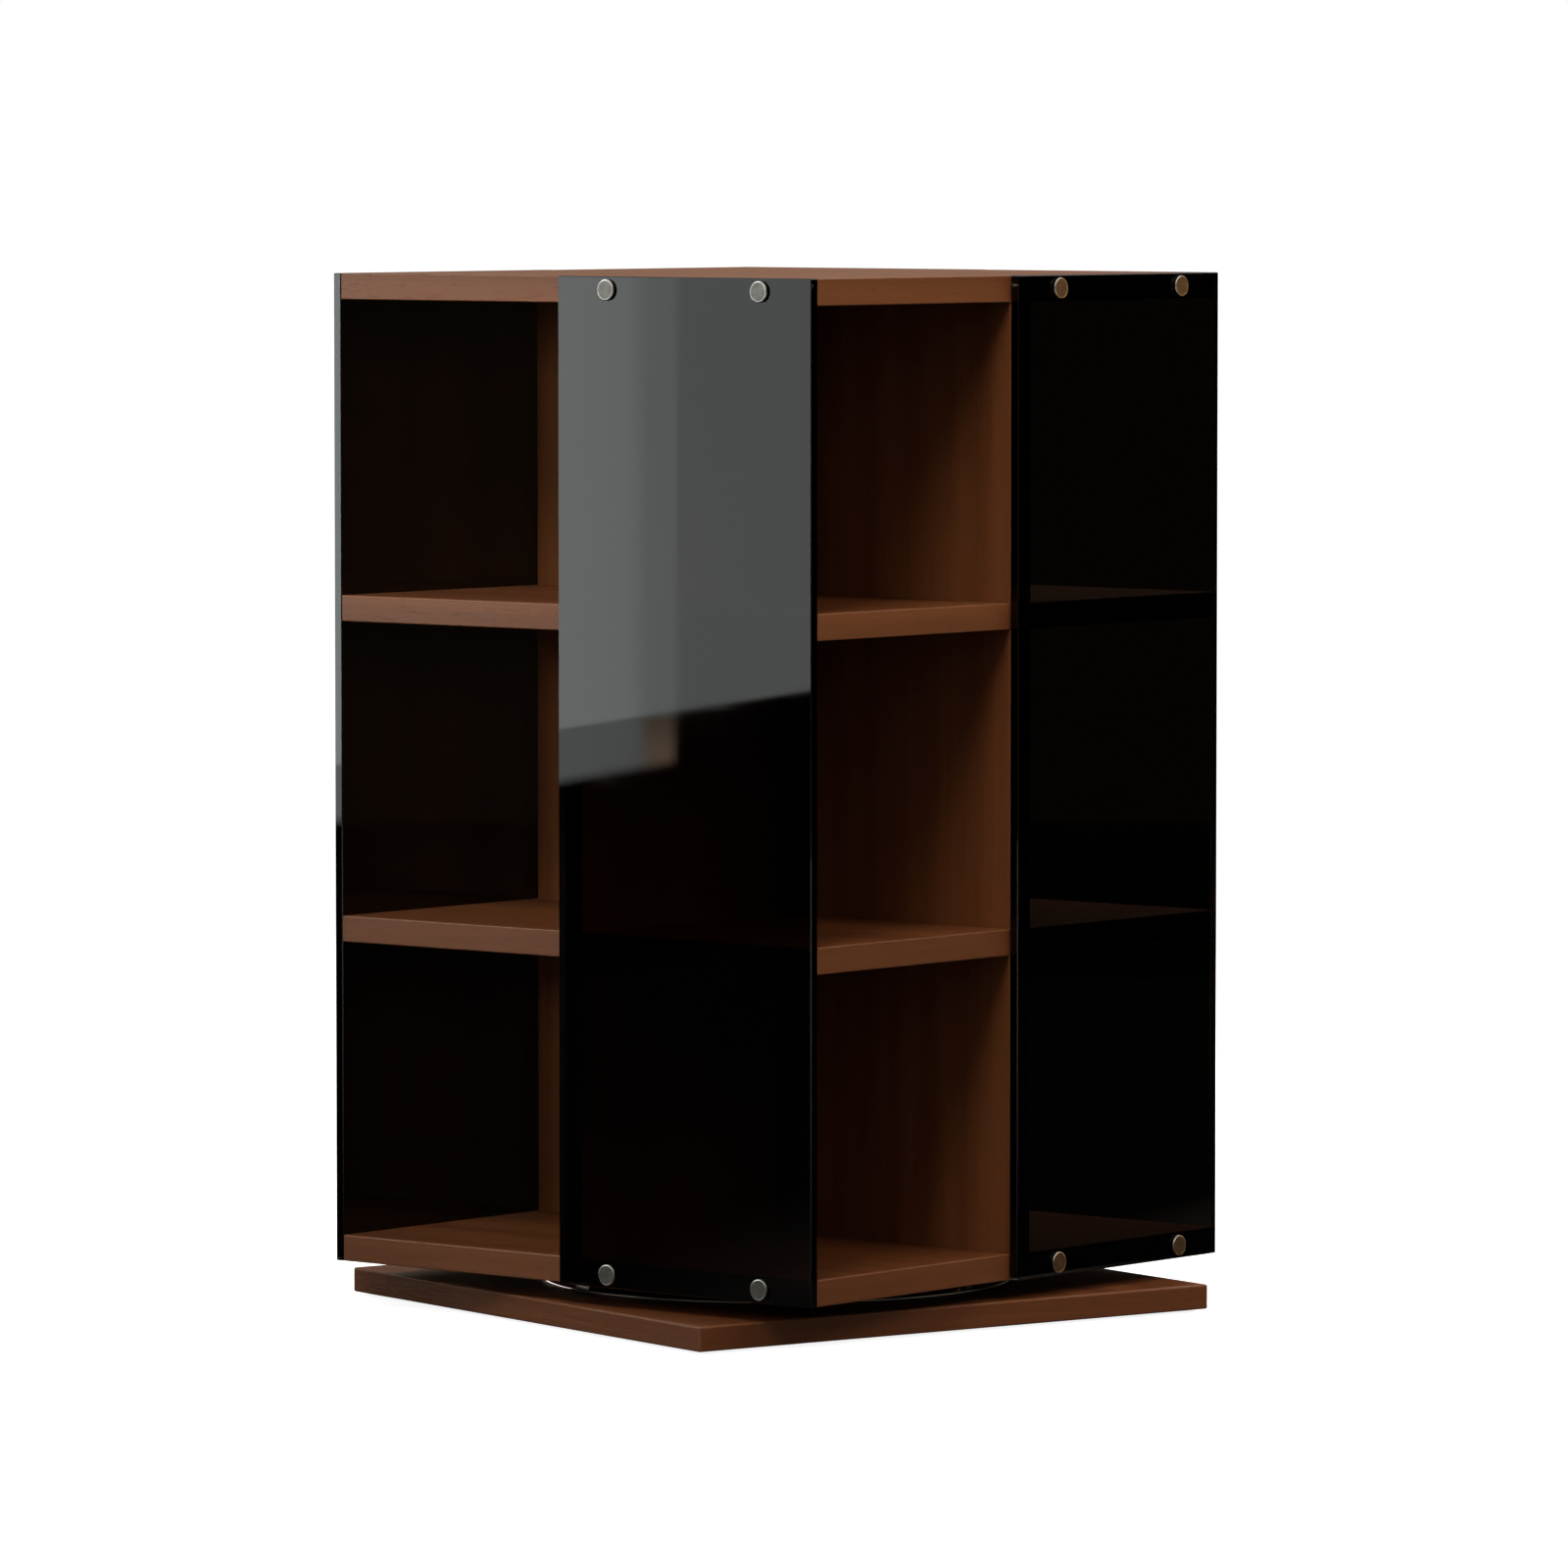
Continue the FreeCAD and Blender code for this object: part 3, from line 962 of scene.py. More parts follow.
@dataclass
class BaseAssembly:
    """The board that stands still, with its pads."""

    side: float = 0.300
    bottom: float = 0.0015
    thickness: float = 0.012
    edge_radius: float = 0.001
    band: float = 0.0018
    turn: float = -15.0
    pad_radius: float = 0.011
    pad_inset: float = 0.030
    pad_edge_radius: float = 0.0003
    pad_rim: float = 0.0018
    pad_slope: float = 0.0004
    pad_dish: float = 0.0002
    driver_hole_radius: float = 0.008
    driver_hole_distance: float = 0.0825375
    pilot_distance: float = 0.1074625
    pilot_radius: float = 0.0018
    pilot_depth: float = 0.0089
    pilot_turn: float = 30.0

    def bores(self) -> list[Bore]:
        """The screwdriver hole and the pilot holes of the outer ring's screws.

        Returns:
            The bores.
        """
        top = self.bottom + self.thickness
        driver = Bore((self.driver_hole_distance, 0.0, top + OVERSHOOT), DOWN,
                      self.thickness + 2 * OVERSHOOT, self.driver_hole_radius)
        return [driver] + [Bore(mouth, DOWN, self.pilot_depth, self.pilot_radius)
                           for mouth in six_places(self.pilot_distance, self.pilot_turn, top)]

    def build_board(self, finishes: Finishes) -> None:
        """Models the base board.

        Args:
            finishes: the rack's materials.
        """
        pattern = Board(self.side, self.thickness, self.edge_radius, self.band)
        plain = pattern.build("base_plain", self.bottom)
        pattern.finish(plain, self.bores(), finishes.base)
        board = copied(plain, "base_board_finished", turned(self.turn))
        bpy.data.objects.remove(plain)
        fit(board, "base", "wood", "base_board")

    def build_pads(self, finishes: Finishes) -> None:
        """Models one pad with eased rims and a dished foot, and copies it to the four corners.

        Args:
            finishes: the rack's materials.
        """
        pad = round_bar("pad", self.pad_radius, self.bottom, 48)
        with editing(pad):
            pick_faces(pad, is_level)
            bpy.ops.mesh.bevel(offset=self.pad_edge_radius, segments=3, profile=0.5, affect="EDGES")
            pick_faces(pad, looks_down)
            bpy.ops.mesh.inset(thickness=self.pad_rim)
            bpy.ops.mesh.inset(thickness=self.pad_slope, depth=-self.pad_dish)
        dress(pad, finishes.pad)
        smoothed(pad)
        reach = self.side / 2 - self.pad_inset
        corner = Matrix.Translation((reach, reach, 0))
        copies = [copied(pad, "pad_copy", turned(self.turn) @ turned(90 * index) @ corner)
                  for index in range(4)]
        bpy.data.objects.remove(pad)
        fit(joined(copies, "base_pads_finished"), "base", "pad", "base_pads")

    def build(self, finishes: Finishes) -> None:
        """Models the whole base in the rack's finishes."""
        self.build_board(finishes)
        self.build_pads(finishes)


@dataclass
class RingBearing:
    """The flat ball bearing between base and tower: two pressed rings, balls in a cage, screws.

    The inner ring is the outer one's section turned half round the balls' centres. In the methods, side is
    1 for the outer ring and -1 for the inner ring.
    """

    outer_radius: float = 0.1155
    bore_radius: float = 0.0745
    base_top: float = 0.0135
    sheet: float = 0.0012
    race_radius: float = 0.003225
    back_gap: float = 0.000325
    root: float = -65.0
    lip: float = 55.0
    rim_crown: float = 0.0014
    rim_tip: float = 35.0
    rim_ease: float = 0.00025
    hole_radius: float = 0.0021
    drill_proud: float = 0.0004
    outer_hole_turn: float = 15.0
    inner_hole_turn: float = 30.0
    steps: int = 240

    @property
    def ball_circle(self) -> float:
        """Distance of the balls' centres from the axis."""
        return (self.outer_radius + self.bore_radius) / 2

    @property
    def back_radius(self) -> float:
        """Radius of the outside of a race, round a ball's centre."""
        return self.race_radius + self.sheet

    @property
    def flange_reach(self) -> float:
        """How far a flange reaches from the balls' centres."""
        return (self.outer_radius - self.bore_radius) / 2

    @staticmethod
    def fan(centre: tuple[float, float], radius: float, first: float, last: float, count: int) -> list:
        """Points at equal steps on an arc.

        Args:
            centre: centre of the arc.
            radius: its radius.
            first: angle of its first point, in degrees.
            last: angle of its last point, in degrees.
            count: number of points.

        Returns:
            The points, as pairs.
        """
        angles = [math.radians(first + (last - first) * index / (count - 1)) for index in range(count)]
        return [(centre[0] + radius * math.cos(angle), centre[1] + radius * math.sin(angle))
                for angle in angles]

    def section(self, side: int) -> list[tuple[float, float]]:
        """Outline of a ring: race, rolled lip, back of the race and flange with its crowned, cut rim.

        Args:
            side: which ring.

        Returns:
            The corners, each as distance from the axis and height.
        """
        low = -(self.back_radius + self.back_gap)
        high = low + self.sheet
        lip_centre = self.fan((0, 0), self.race_radius + self.sheet / 2, self.lip, self.lip, 2)[0]
        reach, ease, crown = self.flange_reach, self.rim_ease, self.rim_crown
        tip = math.radians(self.rim_tip)
        foot = high - ease - (crown - ease) * math.sin(tip)
        shoulder = (reach - crown + (crown - ease) * math.cos(tip), high - ease)
        outline = self.fan((0, 0), self.race_radius, self.root, self.lip, 16)
        outline += self.fan(lip_centre, self.sheet / 2, self.lip + 180, self.lip, 8)[1:-1]
        back_end = math.degrees(math.asin(high / self.back_radius))
        outline += self.fan((0, 0), self.back_radius, self.lip, back_end, 14)
        outline += self.fan(shoulder, ease, 90, self.rim_tip, 8)
        outline += self.fan((reach - crown, foot), crown, self.rim_tip, 0, 12)[1:]
        outline += self.fan((reach - ease, low + ease), ease, 0, -90, 5)
        outline.append((self.race_radius * math.cos(math.radians(self.root)), low))
        level = self.base_top - low
        return [(self.ball_circle + side * across, level + side * up) for across, up in outline]

    def holes(self, side: int, turn: float) -> list[Bore]:
        """The six screw holes of a flange, drilled from above.

        Args:
            side: which ring.
            turn: angle of the first hole, in degrees.

        Returns:
            The bores.
        """
        distance = self.ball_circle + side * (self.back_radius + self.flange_reach) / 2
        top = self.base_top + self.sheet
        if side < 0:
            top = self.base_top + 2 * (self.back_radius + self.back_gap)
        return [Bore(mouth, DOWN, self.sheet + 2 * self.drill_proud, self.hole_radius)
                for mouth in six_places(distance, turn, top + self.drill_proud)]

    def build(self, finishes: Finishes) -> None:
        """Spins and drills both rings, and finishes screws, balls and cage.

        Args:
            finishes: the rack's materials.
        """
        for name, body, side, turn in (("turntable_outer_ring", "base", 1, self.outer_hole_turn),
                                       ("turntable_inner_ring", "tower", -1, self.inner_hole_turn)):
            ring = spun_section(name + "_finished", self.section(side), self.steps)
            drilled(ring, self.holes(side, turn))
            dress(ring, finishes.ring)
            smoothed(ring)
            fit(ring, body, "steel", name)
        # blackened screws, dark as painted shade in the gap under the tower
        for name in ("outer_ring_screws", "inner_ring_screws"):
            dress_node(name, finishes.black_steel_painted_shade)
        dress_node("turntable_balls", finishes.ball)
        dress_node("turntable_ball_cage", finishes.cage)


@dataclass
class TowerCarcass:
    """Bottom board, two shelves and top board on crossing dividers."""

    side: float = 0.300
    thickness: float = 0.0127
    bay_height: float = 0.1432
    bottom: float = 0.0230
    edge_radius: float = 0.0006
    dowel_radius: float = 0.00305
    dowel_distances: tuple[float, float] = (0.045, 0.115)
    blind_depth: float = 0.0091
    screw_places: tuple[float, float] = (0.02465, 0.119)
    screw_radius: float = 0.0018
    screw_depth: float = 0.0209
    pilot_distance: float = 0.0825375
    pilot_turn: float = 30.0
    pilot_depth: float = 0.0089

    def level(self, index: int) -> float:
        """Height of the underside of a board, counted from the bottom board."""
        return self.bottom + index * (self.thickness + self.bay_height)

    def dowel_bores(self, index: int) -> list[Bore]:
        """The dowel holes of one board: through a shelf, blind in the top and bottom board.

        Args:
            index: number of the board, counted from the bottom board.

        Returns:
            The bores.
        """
        low, high = self.level(index), self.level(index) + self.thickness
        if index == 0:
            mouth, into, depth = high, DOWN, self.blind_depth
        elif index == len(LEVEL_NAMES) - 1:
            mouth, into, depth = low, UP, self.blind_depth
        else:
            mouth, into, depth = low - OVERSHOOT, UP, self.thickness + 2 * OVERSHOOT
        arms = [(sign * reach, 0.0) for sign in (-1, 1) for reach in self.dowel_distances]
        arms += [(y, x) for x, y in arms]
        return [Bore((x, y, mouth), into, depth, self.dowel_radius) for x, y in arms]

    def screw_bores(self, index: int) -> list[Bore]:
        """The holes of the panel screws in the four edges of the top or bottom board.

        Args:
            index: number of the board, counted from the bottom board.

        Returns:
            The bores.
        """
        height = self.level(index) + self.thickness / 2
        turns = [turned(90 * face) for face in range(len(FACE_NAMES))]
        return [Bore(tuple(turn @ Vector((x, -self.side / 2, height))), tuple(turn @ Vector((0, 1, 0))),
                     self.screw_depth, self.screw_radius) for turn in turns for x in self.screw_places]

    def ring_bores(self) -> list[Bore]:
        """The pilot holes of the inner ring's screws in the underside of the bottom board."""
        return [Bore(mouth, UP, self.pilot_depth, self.screw_radius)
                for mouth in six_places(self.pilot_distance, self.pilot_turn, self.bottom)]

    def build(self, finishes: Finishes) -> None:
        """Models the four boards and finishes dividers and dowels.

        Args:
            finishes: the rack's materials.
        """
        pattern = Board(self.side, self.thickness, self.edge_radius)
        plain = pattern.build("board_plain", 0.0)
        for index, name in enumerate(LEVEL_NAMES):
            board = copied(plain, name + "_finished", Matrix.Translation((0, 0, self.level(index))))
            bores = self.dowel_bores(index)
            if index in (0, len(LEVEL_NAMES) - 1):
                bores += self.screw_bores(index)
            if index == 0:
                bores += self.ring_bores()
            pattern.finish(board, bores, finishes.board)
            fit(board, "tower", "wood", name)
            dress_node(name + "_dowels", finishes.dowel)
        bpy.data.objects.remove(plain)
        for tier in TIER_NAMES:
            for direction in ("left_right", "front_back"):
                dress_node(f"{tier}_divider_{direction}", finishes.divider)


@dataclass
class SmokedPanels:
    """The four tall dark panels with their screws and round caps."""

    width: float = 0.15635
    thickness: float = 0.0048
    low: float = 0.0230
    high: float = 0.5034
    tower_half: float = 0.150
    arris: float = 0.0004
    contact_gap: float = 0.00004
    screw_x: tuple[float, float] = (0.02465, 0.119)
    screw_z: tuple[float, float] = (0.02935, 0.49705)
    hole_radius: float = 0.0021
    sink_radius: float = 0.0039
    cap_radius: float = 0.0051
    cap_thickness: float = 0.0016
    cap_edge_radius: float = 0.0005
    cap_polished_share: float = 0.9
    cap_border: float = 0.00012
    cap_slope: float = 0.00014
    cap_dish: float = 0.00006
    stud_radius: float = 0.0012
    stud_length: float = 0.0040
    stud_tip: tuple[float, float] = (0.0003, 0.0002)

    @property
    def outer(self) -> float:
        """Where the front panel's outer face lies on the Y axis."""
        return -self.tower_half - self.thickness

    def screw_places(self) -> list[Point]:
        """Where the screws of the front panel meet its outer face."""
        return [(x, self.outer, z) for z in self.screw_z for x in self.screw_x]

    def front_panel(self) -> Piece:
        """Models the front panel: a sheet with polished arrises and four countersunk holes.

        Returns:
            The panel.
        """
        panel = block("front_panel_finished", (self.tower_half - self.width, self.outer, self.low),
                      (self.tower_half, -self.tower_half - self.contact_gap, self.high))
        with editing(panel):
            bpy.ops.mesh.select_all(action="SELECT")
            bpy.ops.mesh.bevel(offset=self.arris, segments=1, affect="EDGES")
        depth = self.thickness + OVERSHOOT
        drilled(panel, [Bore(place, (0, 1, 0), depth, self.hole_radius, self.sink_radius)
                        for place in self.screw_places()])
        return panel

    def cap(self, finishes: Finishes) -> Piece:
        """Models one cap upright: a disc with a rounded rim, a dished face and a stud under it.

        Args:
            finishes: the rack's materials.

        Returns:
            The cap, with a satin face and a polished rim, whose dark and bright nickels are partly painted
            shade and a painted highlight, and a dark side and underside of painted shade.
        """
        cap = round_bar("cap", self.cap_radius, self.cap_thickness, 72)
        with editing(cap):
            pick_faces(cap, looks_up)
            bpy.ops.mesh.bevel(offset=self.cap_edge_radius, segments=5, profile=0.5, affect="EDGES")
            pick_faces(cap, looks_up)
            bpy.ops.mesh.inset(thickness=self.cap_border)
            bpy.ops.mesh.inset(thickness=self.cap_slope, depth=-self.cap_dish)
            pick_faces(cap, looks_down)
            bpy.ops.mesh.inset(thickness=self.cap_radius - self.stud_radius)
            bpy.ops.mesh.extrude_region_move(TRANSFORM_OT_translate={"value": (0, 0, -self.stud_length)})
            bpy.ops.mesh.inset(thickness=self.stud_tip[0], depth=self.stud_tip[1])
        self.lay_rings(cap)
        # the face's dark nickel is partly painted shade, the rim's bright nickel partly a painted highlight
        dress(cap, finishes.cap_face_painted_shade, finishes.cap_rim_painted_highlight, finishes.black_steel_painted_shade)
        rim_level = self.cap_thickness - self.cap_polished_share * self.cap_edge_radius
        with editing(cap):
            # slot 1, bright nickel with its painted highlight, goes to the rim; slot 2, blackened steel as
            # painted shade, to the side and underside
            give_slot(cap, lambda centre, normal: normal.z < SQUARE_ON and centre.z > rim_level, 1)
            give_slot(cap, lambda centre, normal: centre.z < rim_level, 2)
        smoothed(cap)
        return cap

    def lay_rings(self, cap: Piece) -> None:
        """Gives the cap a UV map in millimetres from its centre, for the turning rings.

        Args:
            cap: the upright cap.
        """
        layer = cap.data.uv_layers.new(name="rings")
        for loop, spot in zip(cap.data.loops, layer.data):
            place = cap.data.vertices[loop.vertex_index].co
            spot.uv = (place.x * 1000, place.y * 1000)

    def build(self, finishes: Finishes) -> None:
        """Models the panels and caps and finishes the screws.

        Args:
            finishes: the rack's materials.
        """
        panel = self.front_panel()
        dress(panel, finishes.panel)
        cap = self.cap(finishes)
        outward = Matrix.Rotation(math.radians(90), 4, "X")
        copies = [copied(cap, "cap_copy", Matrix.Translation(place) @ outward)
                  for place in self.screw_places()]
        four = joined(copies, "front_panel_caps_finished")
        bpy.data.objects.remove(cap)
        for face, name in enumerate(FACE_NAMES):
            sheet, caps = panel, four
            if face:
                sheet = copied(panel, name + "_panel_finished", turned(90 * face))
                caps = copied(four, name + "_panel_caps_finished", turned(90 * face))
            fit(sheet, "tower", "smoked_panel", name + "_panel")
            fit(caps, "tower", "cap_metal", name + "_panel_caps")
            dress_node(name + "_panel_screws", finishes.zinc)


# The studio


@dataclass(frozen=True)
class Lamp:
    """A soft square lamp that shines at a point on the tower's axis; camera and reflections don't see it.

    ``spread`` is the angle of its beam in degrees, narrowed as by a honeycomb.
    """

    name: str
    place: Point
    aim_height: float
    size: float
    power: float
    colour: Colour
    spread: float = 180.0

    def build(self) -> None:
        """Hangs the lamp up."""
        data = bpy.data.lights.new(self.name, "AREA")
        data.shape = "SQUARE"
        data.size = self.size
        data.energy = self.power
        data.color = self.colour
        data.spread = math.radians(self.spread)
        lamp = bpy.data.objects.new(self.name, data)
        lamp.location = self.place
        lamp.rotation_mode = "QUATERNION"
        aim = Vector((0, 0, self.aim_height)) - Vector(self.place)
        lamp.rotation_quaternion = aim.to_track_quat("-Z", "Y")
        lamp.visible_camera = False
        lamp.visible_glossy = False
        bpy.context.scene.collection.objects.link(lamp)


LAMPS = (
    Lamp("key_lamp", (0.39, -1.08, 1.45), 0.40, 0.6, 2.85, (1.0, 0.97, 0.84), 60.0),
    Lamp("front_lamp", (-0.15, -1.9, 0.75), 0.38, 0.5, 0.62, (0.90, 1.0, 0.84), 34.0),
    Lamp("fill_lamp", (1.32, 0.18, 1.15), 0.30, 0.6, 9.3, (1.0, 0.86, 0.74)),
    Lamp("top_lamp", (0.2, 0.9, 1.8), 0.45, 1.0, 6.0, (1.0, 0.96, 0.90)),
    Lamp("back_lamp", (-0.7, 1.7, 1.1), 0.35, 0.8, 48.0, (1.0, 0.97, 0.90)),
)


@dataclass
class Studio:
    """Pale floor, soft lamps, cards that only reflections see, and the camera.

    A fade is a range of a coordinate in metres and the levels at its two ends.
    """

    azimuth: float = 39.9265
    distance: float = 4.78997
    camera_height: float = 0.56863
    pitch: float = 3.7528
    yaw: float = 0.0383
    focal_pixels: float = 10049.55
    frame_pixels: float = 1600.0
    sensor: float = 36.0
    far_clip: float = 200.0
    floor_size: float = 60.0
    world_level: float = 0.42
    floor_lift: float = 0.88
    floor_tone: float = 0.45
    floor_bounce: float = 0.15
    wall_radius: float = 3.4
    wall_height: float = 2.4
    wall_fade: tuple[float, ...] = (0.55, 1.1, 0.025, 0.30)
    wall_colour: Colour = (1.0, 0.80, 0.60)
    wall_open_level: float = 0.10
    mat_height: float = 0.0002
    mat_fade: tuple[float, ...] = (0.25, 1.9, 0.02, 0.6)
    mat_colour: Colour = (1.0, 0.93, 0.86)
    mat_level: float = 0.006
    facing_range: tuple[float, float] = (0.42, 0.80)
    axial_range: tuple[float, float] = (0.86, 0.98)
    side_size: tuple[float, float] = (1.31, 0.24)
    side_place: Point = (-1.6, 0.295, 0.12)
    side_level: float = 3.0
    side_colour: Colour = (1.0, 0.86, 0.78)
    strip_height: float = 0.011
    front_strip_length: float = 0.122
    front_strip_middle: Point = (-0.049, -0.1570, 0.0188)
    front_strip_level: float = 0.06
    front_strip_colour: Colour = (1.0, 0.80, 0.65)
    right_strip_length: float = 0.24
    right_strip_middle: Point = (0.1570, 0.09, 0.0188)
    right_strip_fades: tuple[tuple[float, ...], ...] = (
        (0.03, 0.12, 0.14, 0.014), (-0.03, -0.005, 0.5, 1.0))
    right_strip_colour: Colour = (1.0, 0.90, 0.78)
    window_size: tuple[float, float] = (2.4, 2.2)
    window_lead: float = 1.1
    window_place: Point = (-1.284, -1.615, 0.0)
    window_turn: float = 249.75
    window_glow: tuple[float, ...] = (-0.41, 0.0, 3.95, 2.94)
    window_fades: tuple[tuple[float, ...], ...] = ((0.0, 0.13, 1.0, 0.935), (0.135, 0.172, 1.0, 0.77))
    window_post: tuple[float, float] = (0.2265, 0.2325)
    post_level: float = 0.76
    pane_sill: tuple[float, float] = (0.1690, 0.1725)
    low_pane_sill: tuple[float, float] = (0.1323, 0.1403)
    low_pane_level: float = 0.52
    under_sill: tuple[float, ...] = (0.166, 0.172, 1.0, 0.0)
    warm_edge: tuple[float, float] = (0.150, 0.178)
    warm_lift: tuple[float, ...] = (0.146, 0.168, 0.30, -0.22)
    dusk_edge: tuple[float, ...] = (0.214, 0.220, 0.0, 0.5)
    window_colour: Colour = (0.93, 1.0, 0.98)
    pane_colour: Colour = (1.0, 0.72, 0.50)
    warm_size: tuple[float, float] = (1.7, 1.6)
    warm_place: Point = (1.3, 1.6, 0.0)
    warm_turn: float = 140.9
    warm_fade: tuple[float, ...] = (0.0, 0.6, 3.3, 0.6)
    warm_dark_shift: float = 0.10
    warm_dark_side: tuple[float, float] = (0.27, 0.35)
    warm_dark_top: tuple[float, float] = (0.55, 0.63)
    warm_colour: Colour = (1.0, 0.52, 0.20)

    def camera(self) -> None:
        """Sets up the camera at the photograph's place."""
        azimuth, pitch, yaw = map(math.radians, (self.azimuth, self.pitch, self.yaw))
        place = Vector((self.distance * math.sin(azimuth), -self.distance * math.cos(azimuth),
                        self.camera_height))
        heading = azimuth - yaw
        forward = Vector((-math.sin(heading), math.cos(heading), 0.0)) * math.cos(pitch)
        forward.z = -math.sin(pitch)
        data = bpy.data.cameras.new("photo_camera")
        data.sensor_width = self.sensor
        data.lens = self.focal_pixels * self.sensor / self.frame_pixels
        data.clip_end = self.far_clip
        camera = bpy.data.objects.new("photo_camera", data)
        camera.rotation_mode = "QUATERNION"
        camera.location = place
        camera.rotation_quaternion = forward.to_track_quat("-Z", "Y")
        bpy.context.scene.collection.objects.link(camera)
        bpy.context.scene.camera = camera

    def seen_as_background(self, desk: NodeDesk) -> Socket:
        """1 for camera, glossy and transmission rays, which see the white background.

        Args:
            desk: a desk on the tree that asks.

        Returns:
            The mask.
        """
        path = desk.add("ShaderNodeLightPath").outputs
        either = desk.math("ADD", path["Is Camera Ray"], path["Is Glossy Ray"], clamp=True)
        return desk.math("ADD", either, path["Is Transmission Ray"], clamp=True)

    def world(self) -> None:
        """White for the eye, and soft even light for the object."""
        world = bpy.data.worlds.new("studio_world")
        world.use_nodes = True
        bpy.context.scene.world = world
        desk = NodeDesk(world.node_tree)
        level = desk.between(self.seen_as_background(desk), 0.0, 1.0, self.world_level, 1.0)
        desk.feed(world.node_tree.nodes["Background"], {"Strength": level, "Color": WHITE})

    def floor(self) -> None:
        """Pale floor that goes into the white background and keeps the object's shadow."""
        floor = started("studio_floor", bpy.ops.mesh.primitive_plane_add, size=self.floor_size)
        material = bpy.data.materials.new("pale_floor")
        material.use_nodes = True
        desk = NodeDesk(material.node_tree)
        seen = self.seen_as_background(desk)
        desk.feed(material.node_tree.nodes["Principled BSDF"], {
            "Roughness": 1.0, "Specular IOR Level": 0.0, "Emission Color": WHITE,
            "Emission Strength": desk.between(seen, 0.0, 1.0, 0.0, self.floor_lift),
            "Base Color": desk.mix(seen, rgba((self.floor_bounce,) * 3), rgba((self.floor_tone,) * 3))})
        dress(floor, material)

    def card(self, piece: Piece, through_glass: bool = False) -> NodeDesk:
        """Makes a stage piece visible to reflections only, with a glow that is still to be set.

        Args:
            piece: the named mesh.
            through_glass: whether the smoked sheet shows it too.

        Returns:
            A desk on its material, whose Emission node is the only shader.
        """
        piece.visible_camera = False
        piece.visible_diffuse = False
        piece.visible_shadow = False
        piece.visible_volume_scatter = False
        piece.visible_transmission = through_glass
        material = bpy.data.materials.new(piece.name + "_light")
        material.use_nodes = True
        nodes = material.node_tree.nodes
        nodes.remove(nodes["Principled BSDF"])
        desk = NodeDesk(material.node_tree)
        glow = desk.add("ShaderNodeEmission")
        desk.feed(nodes["Material Output"], {"Surface": glow.outputs[0]})
        dress(piece, material)
        return desk

    def shine(self, desk: NodeDesk, level: object, colour: object) -> None:
        """Sets how bright a card is, and in which colour."""
        desk.feed(desk.tree.nodes["Emission"], {"Strength": level, "Color": colour})

    def stand(self, card: Piece, place: Point, turn: float) -> None:
        """Stands a lying card up; its pattern keeps the coordinates of the lying card.

        Args:
            card: the card.
            place: where its origin goes.
            turn: its turn about the upright axis, in degrees.
        """
        upright = Matrix.Rotation(math.radians(90), 4, "X")
        card.location = place
        card.rotation_mode = "QUATERNION"
        card.rotation_quaternion = (turned(turn) @ upright).to_quaternion()

    def dark_surround(self) -> None:
        """Low dark wall and mat that the polished sheets mirror, as black flags do in a studio."""
        desk = self.card(started(
            "dark_wall", bpy.ops.mesh.primitive_cylinder_add, vertices=96, radius=self.wall_radius,
            depth=self.wall_height, end_fill_type="NOTHING", location=(0, 0, self.wall_height / 2)), True)
        place = desk.place()
        level = desk.between(desk.part(place, "Z"), *self.wall_fade)
        opened = desk.times(self.open_sectors(desk, place), self.wall_open_level)
        self.shine(desk, desk.math("MAXIMUM", level, opened), rgba(self.wall_colour))
        desk = self.card(started(
            "dark_mat", bpy.ops.mesh.primitive_circle_add, vertices=96, radius=self.wall_radius,
            fill_type="NGON", location=(0, 0, self.mat_height)), True)
        place = desk.place()
        fade = desk.between(desk.vector("LENGTH", place, result=1), *self.mat_fade)
        light = desk.times(self.open_sectors(desk, place), fade)
        self.shine(desk, desk.math("MAXIMUM", light, self.mat_level), rgba(self.mat_colour))

    def open_sectors(self, desk: NodeDesk, place: Socket) -> Socket:
        """1 in the directions where the surround is pale, which only the other views mirror.

        Args:
            desk: a desk on the material of the surround.
            place: its object coordinates.

        Returns:
            The mask.
        """
        way = desk.vector("NORMALIZE", desk.vector("MULTIPLY", place, (1.0, 1.0, 0.0)))
        camera_way = (math.sin(math.radians(self.azimuth)), -math.cos(math.radians(self.azimuth)), 0.0)
        facing = desk.vector("DOT_PRODUCT", way, camera_way, result=1)
        across, along = desk.part(way, "X"), desk.part(way, "Y")
        square = desk.math("SUBTRACT", desk.times(across, across), desk.times(along, along))
        axial = desk.between(desk.math("ABSOLUTE", square), *self.axial_range)
        return desk.math("MAXIMUM", desk.between(facing, *self.facing_range), axial)

    def side_card(self) -> None:
        """Low bright strip at the left, which the cut rim of the bearing's ring mirrors."""
        card = started("side_card", bpy.ops.mesh.primitive_plane_add, size=1, location=self.side_place,
                       rotation=Vector((1.0, 0.0, 0.0)).to_track_quat("Z", "Y").to_euler(),
                       stretch=(*self.side_size, 1.0))
        self.shine(self.card(card), self.side_level, rgba(self.side_colour))

    def gap_strip(self, name: str, length: float, turn: float, middle: Point) -> tuple[NodeDesk, Socket]:
        """Low strip just outside the gap under the tower, where only the bearing's rim mirrors it.

        Args:
            name: name of the strip.
            length: its length.
            turn: its direction from the X axis, in degrees.
            middle: its middle.

        Returns:
            A desk on its material, and 1 on its inner side; its outer side is black.
        """
        desk = self.card(started(
            name, bpy.ops.mesh.primitive_plane_add, size=1, location=middle,
            rotation=(math.radians(90), 0.0, math.radians(turn)), stretch=(length, self.strip_height, 1.0)))
        return desk, desk.add("ShaderNodeNewGeometry").outputs["Backfacing"]

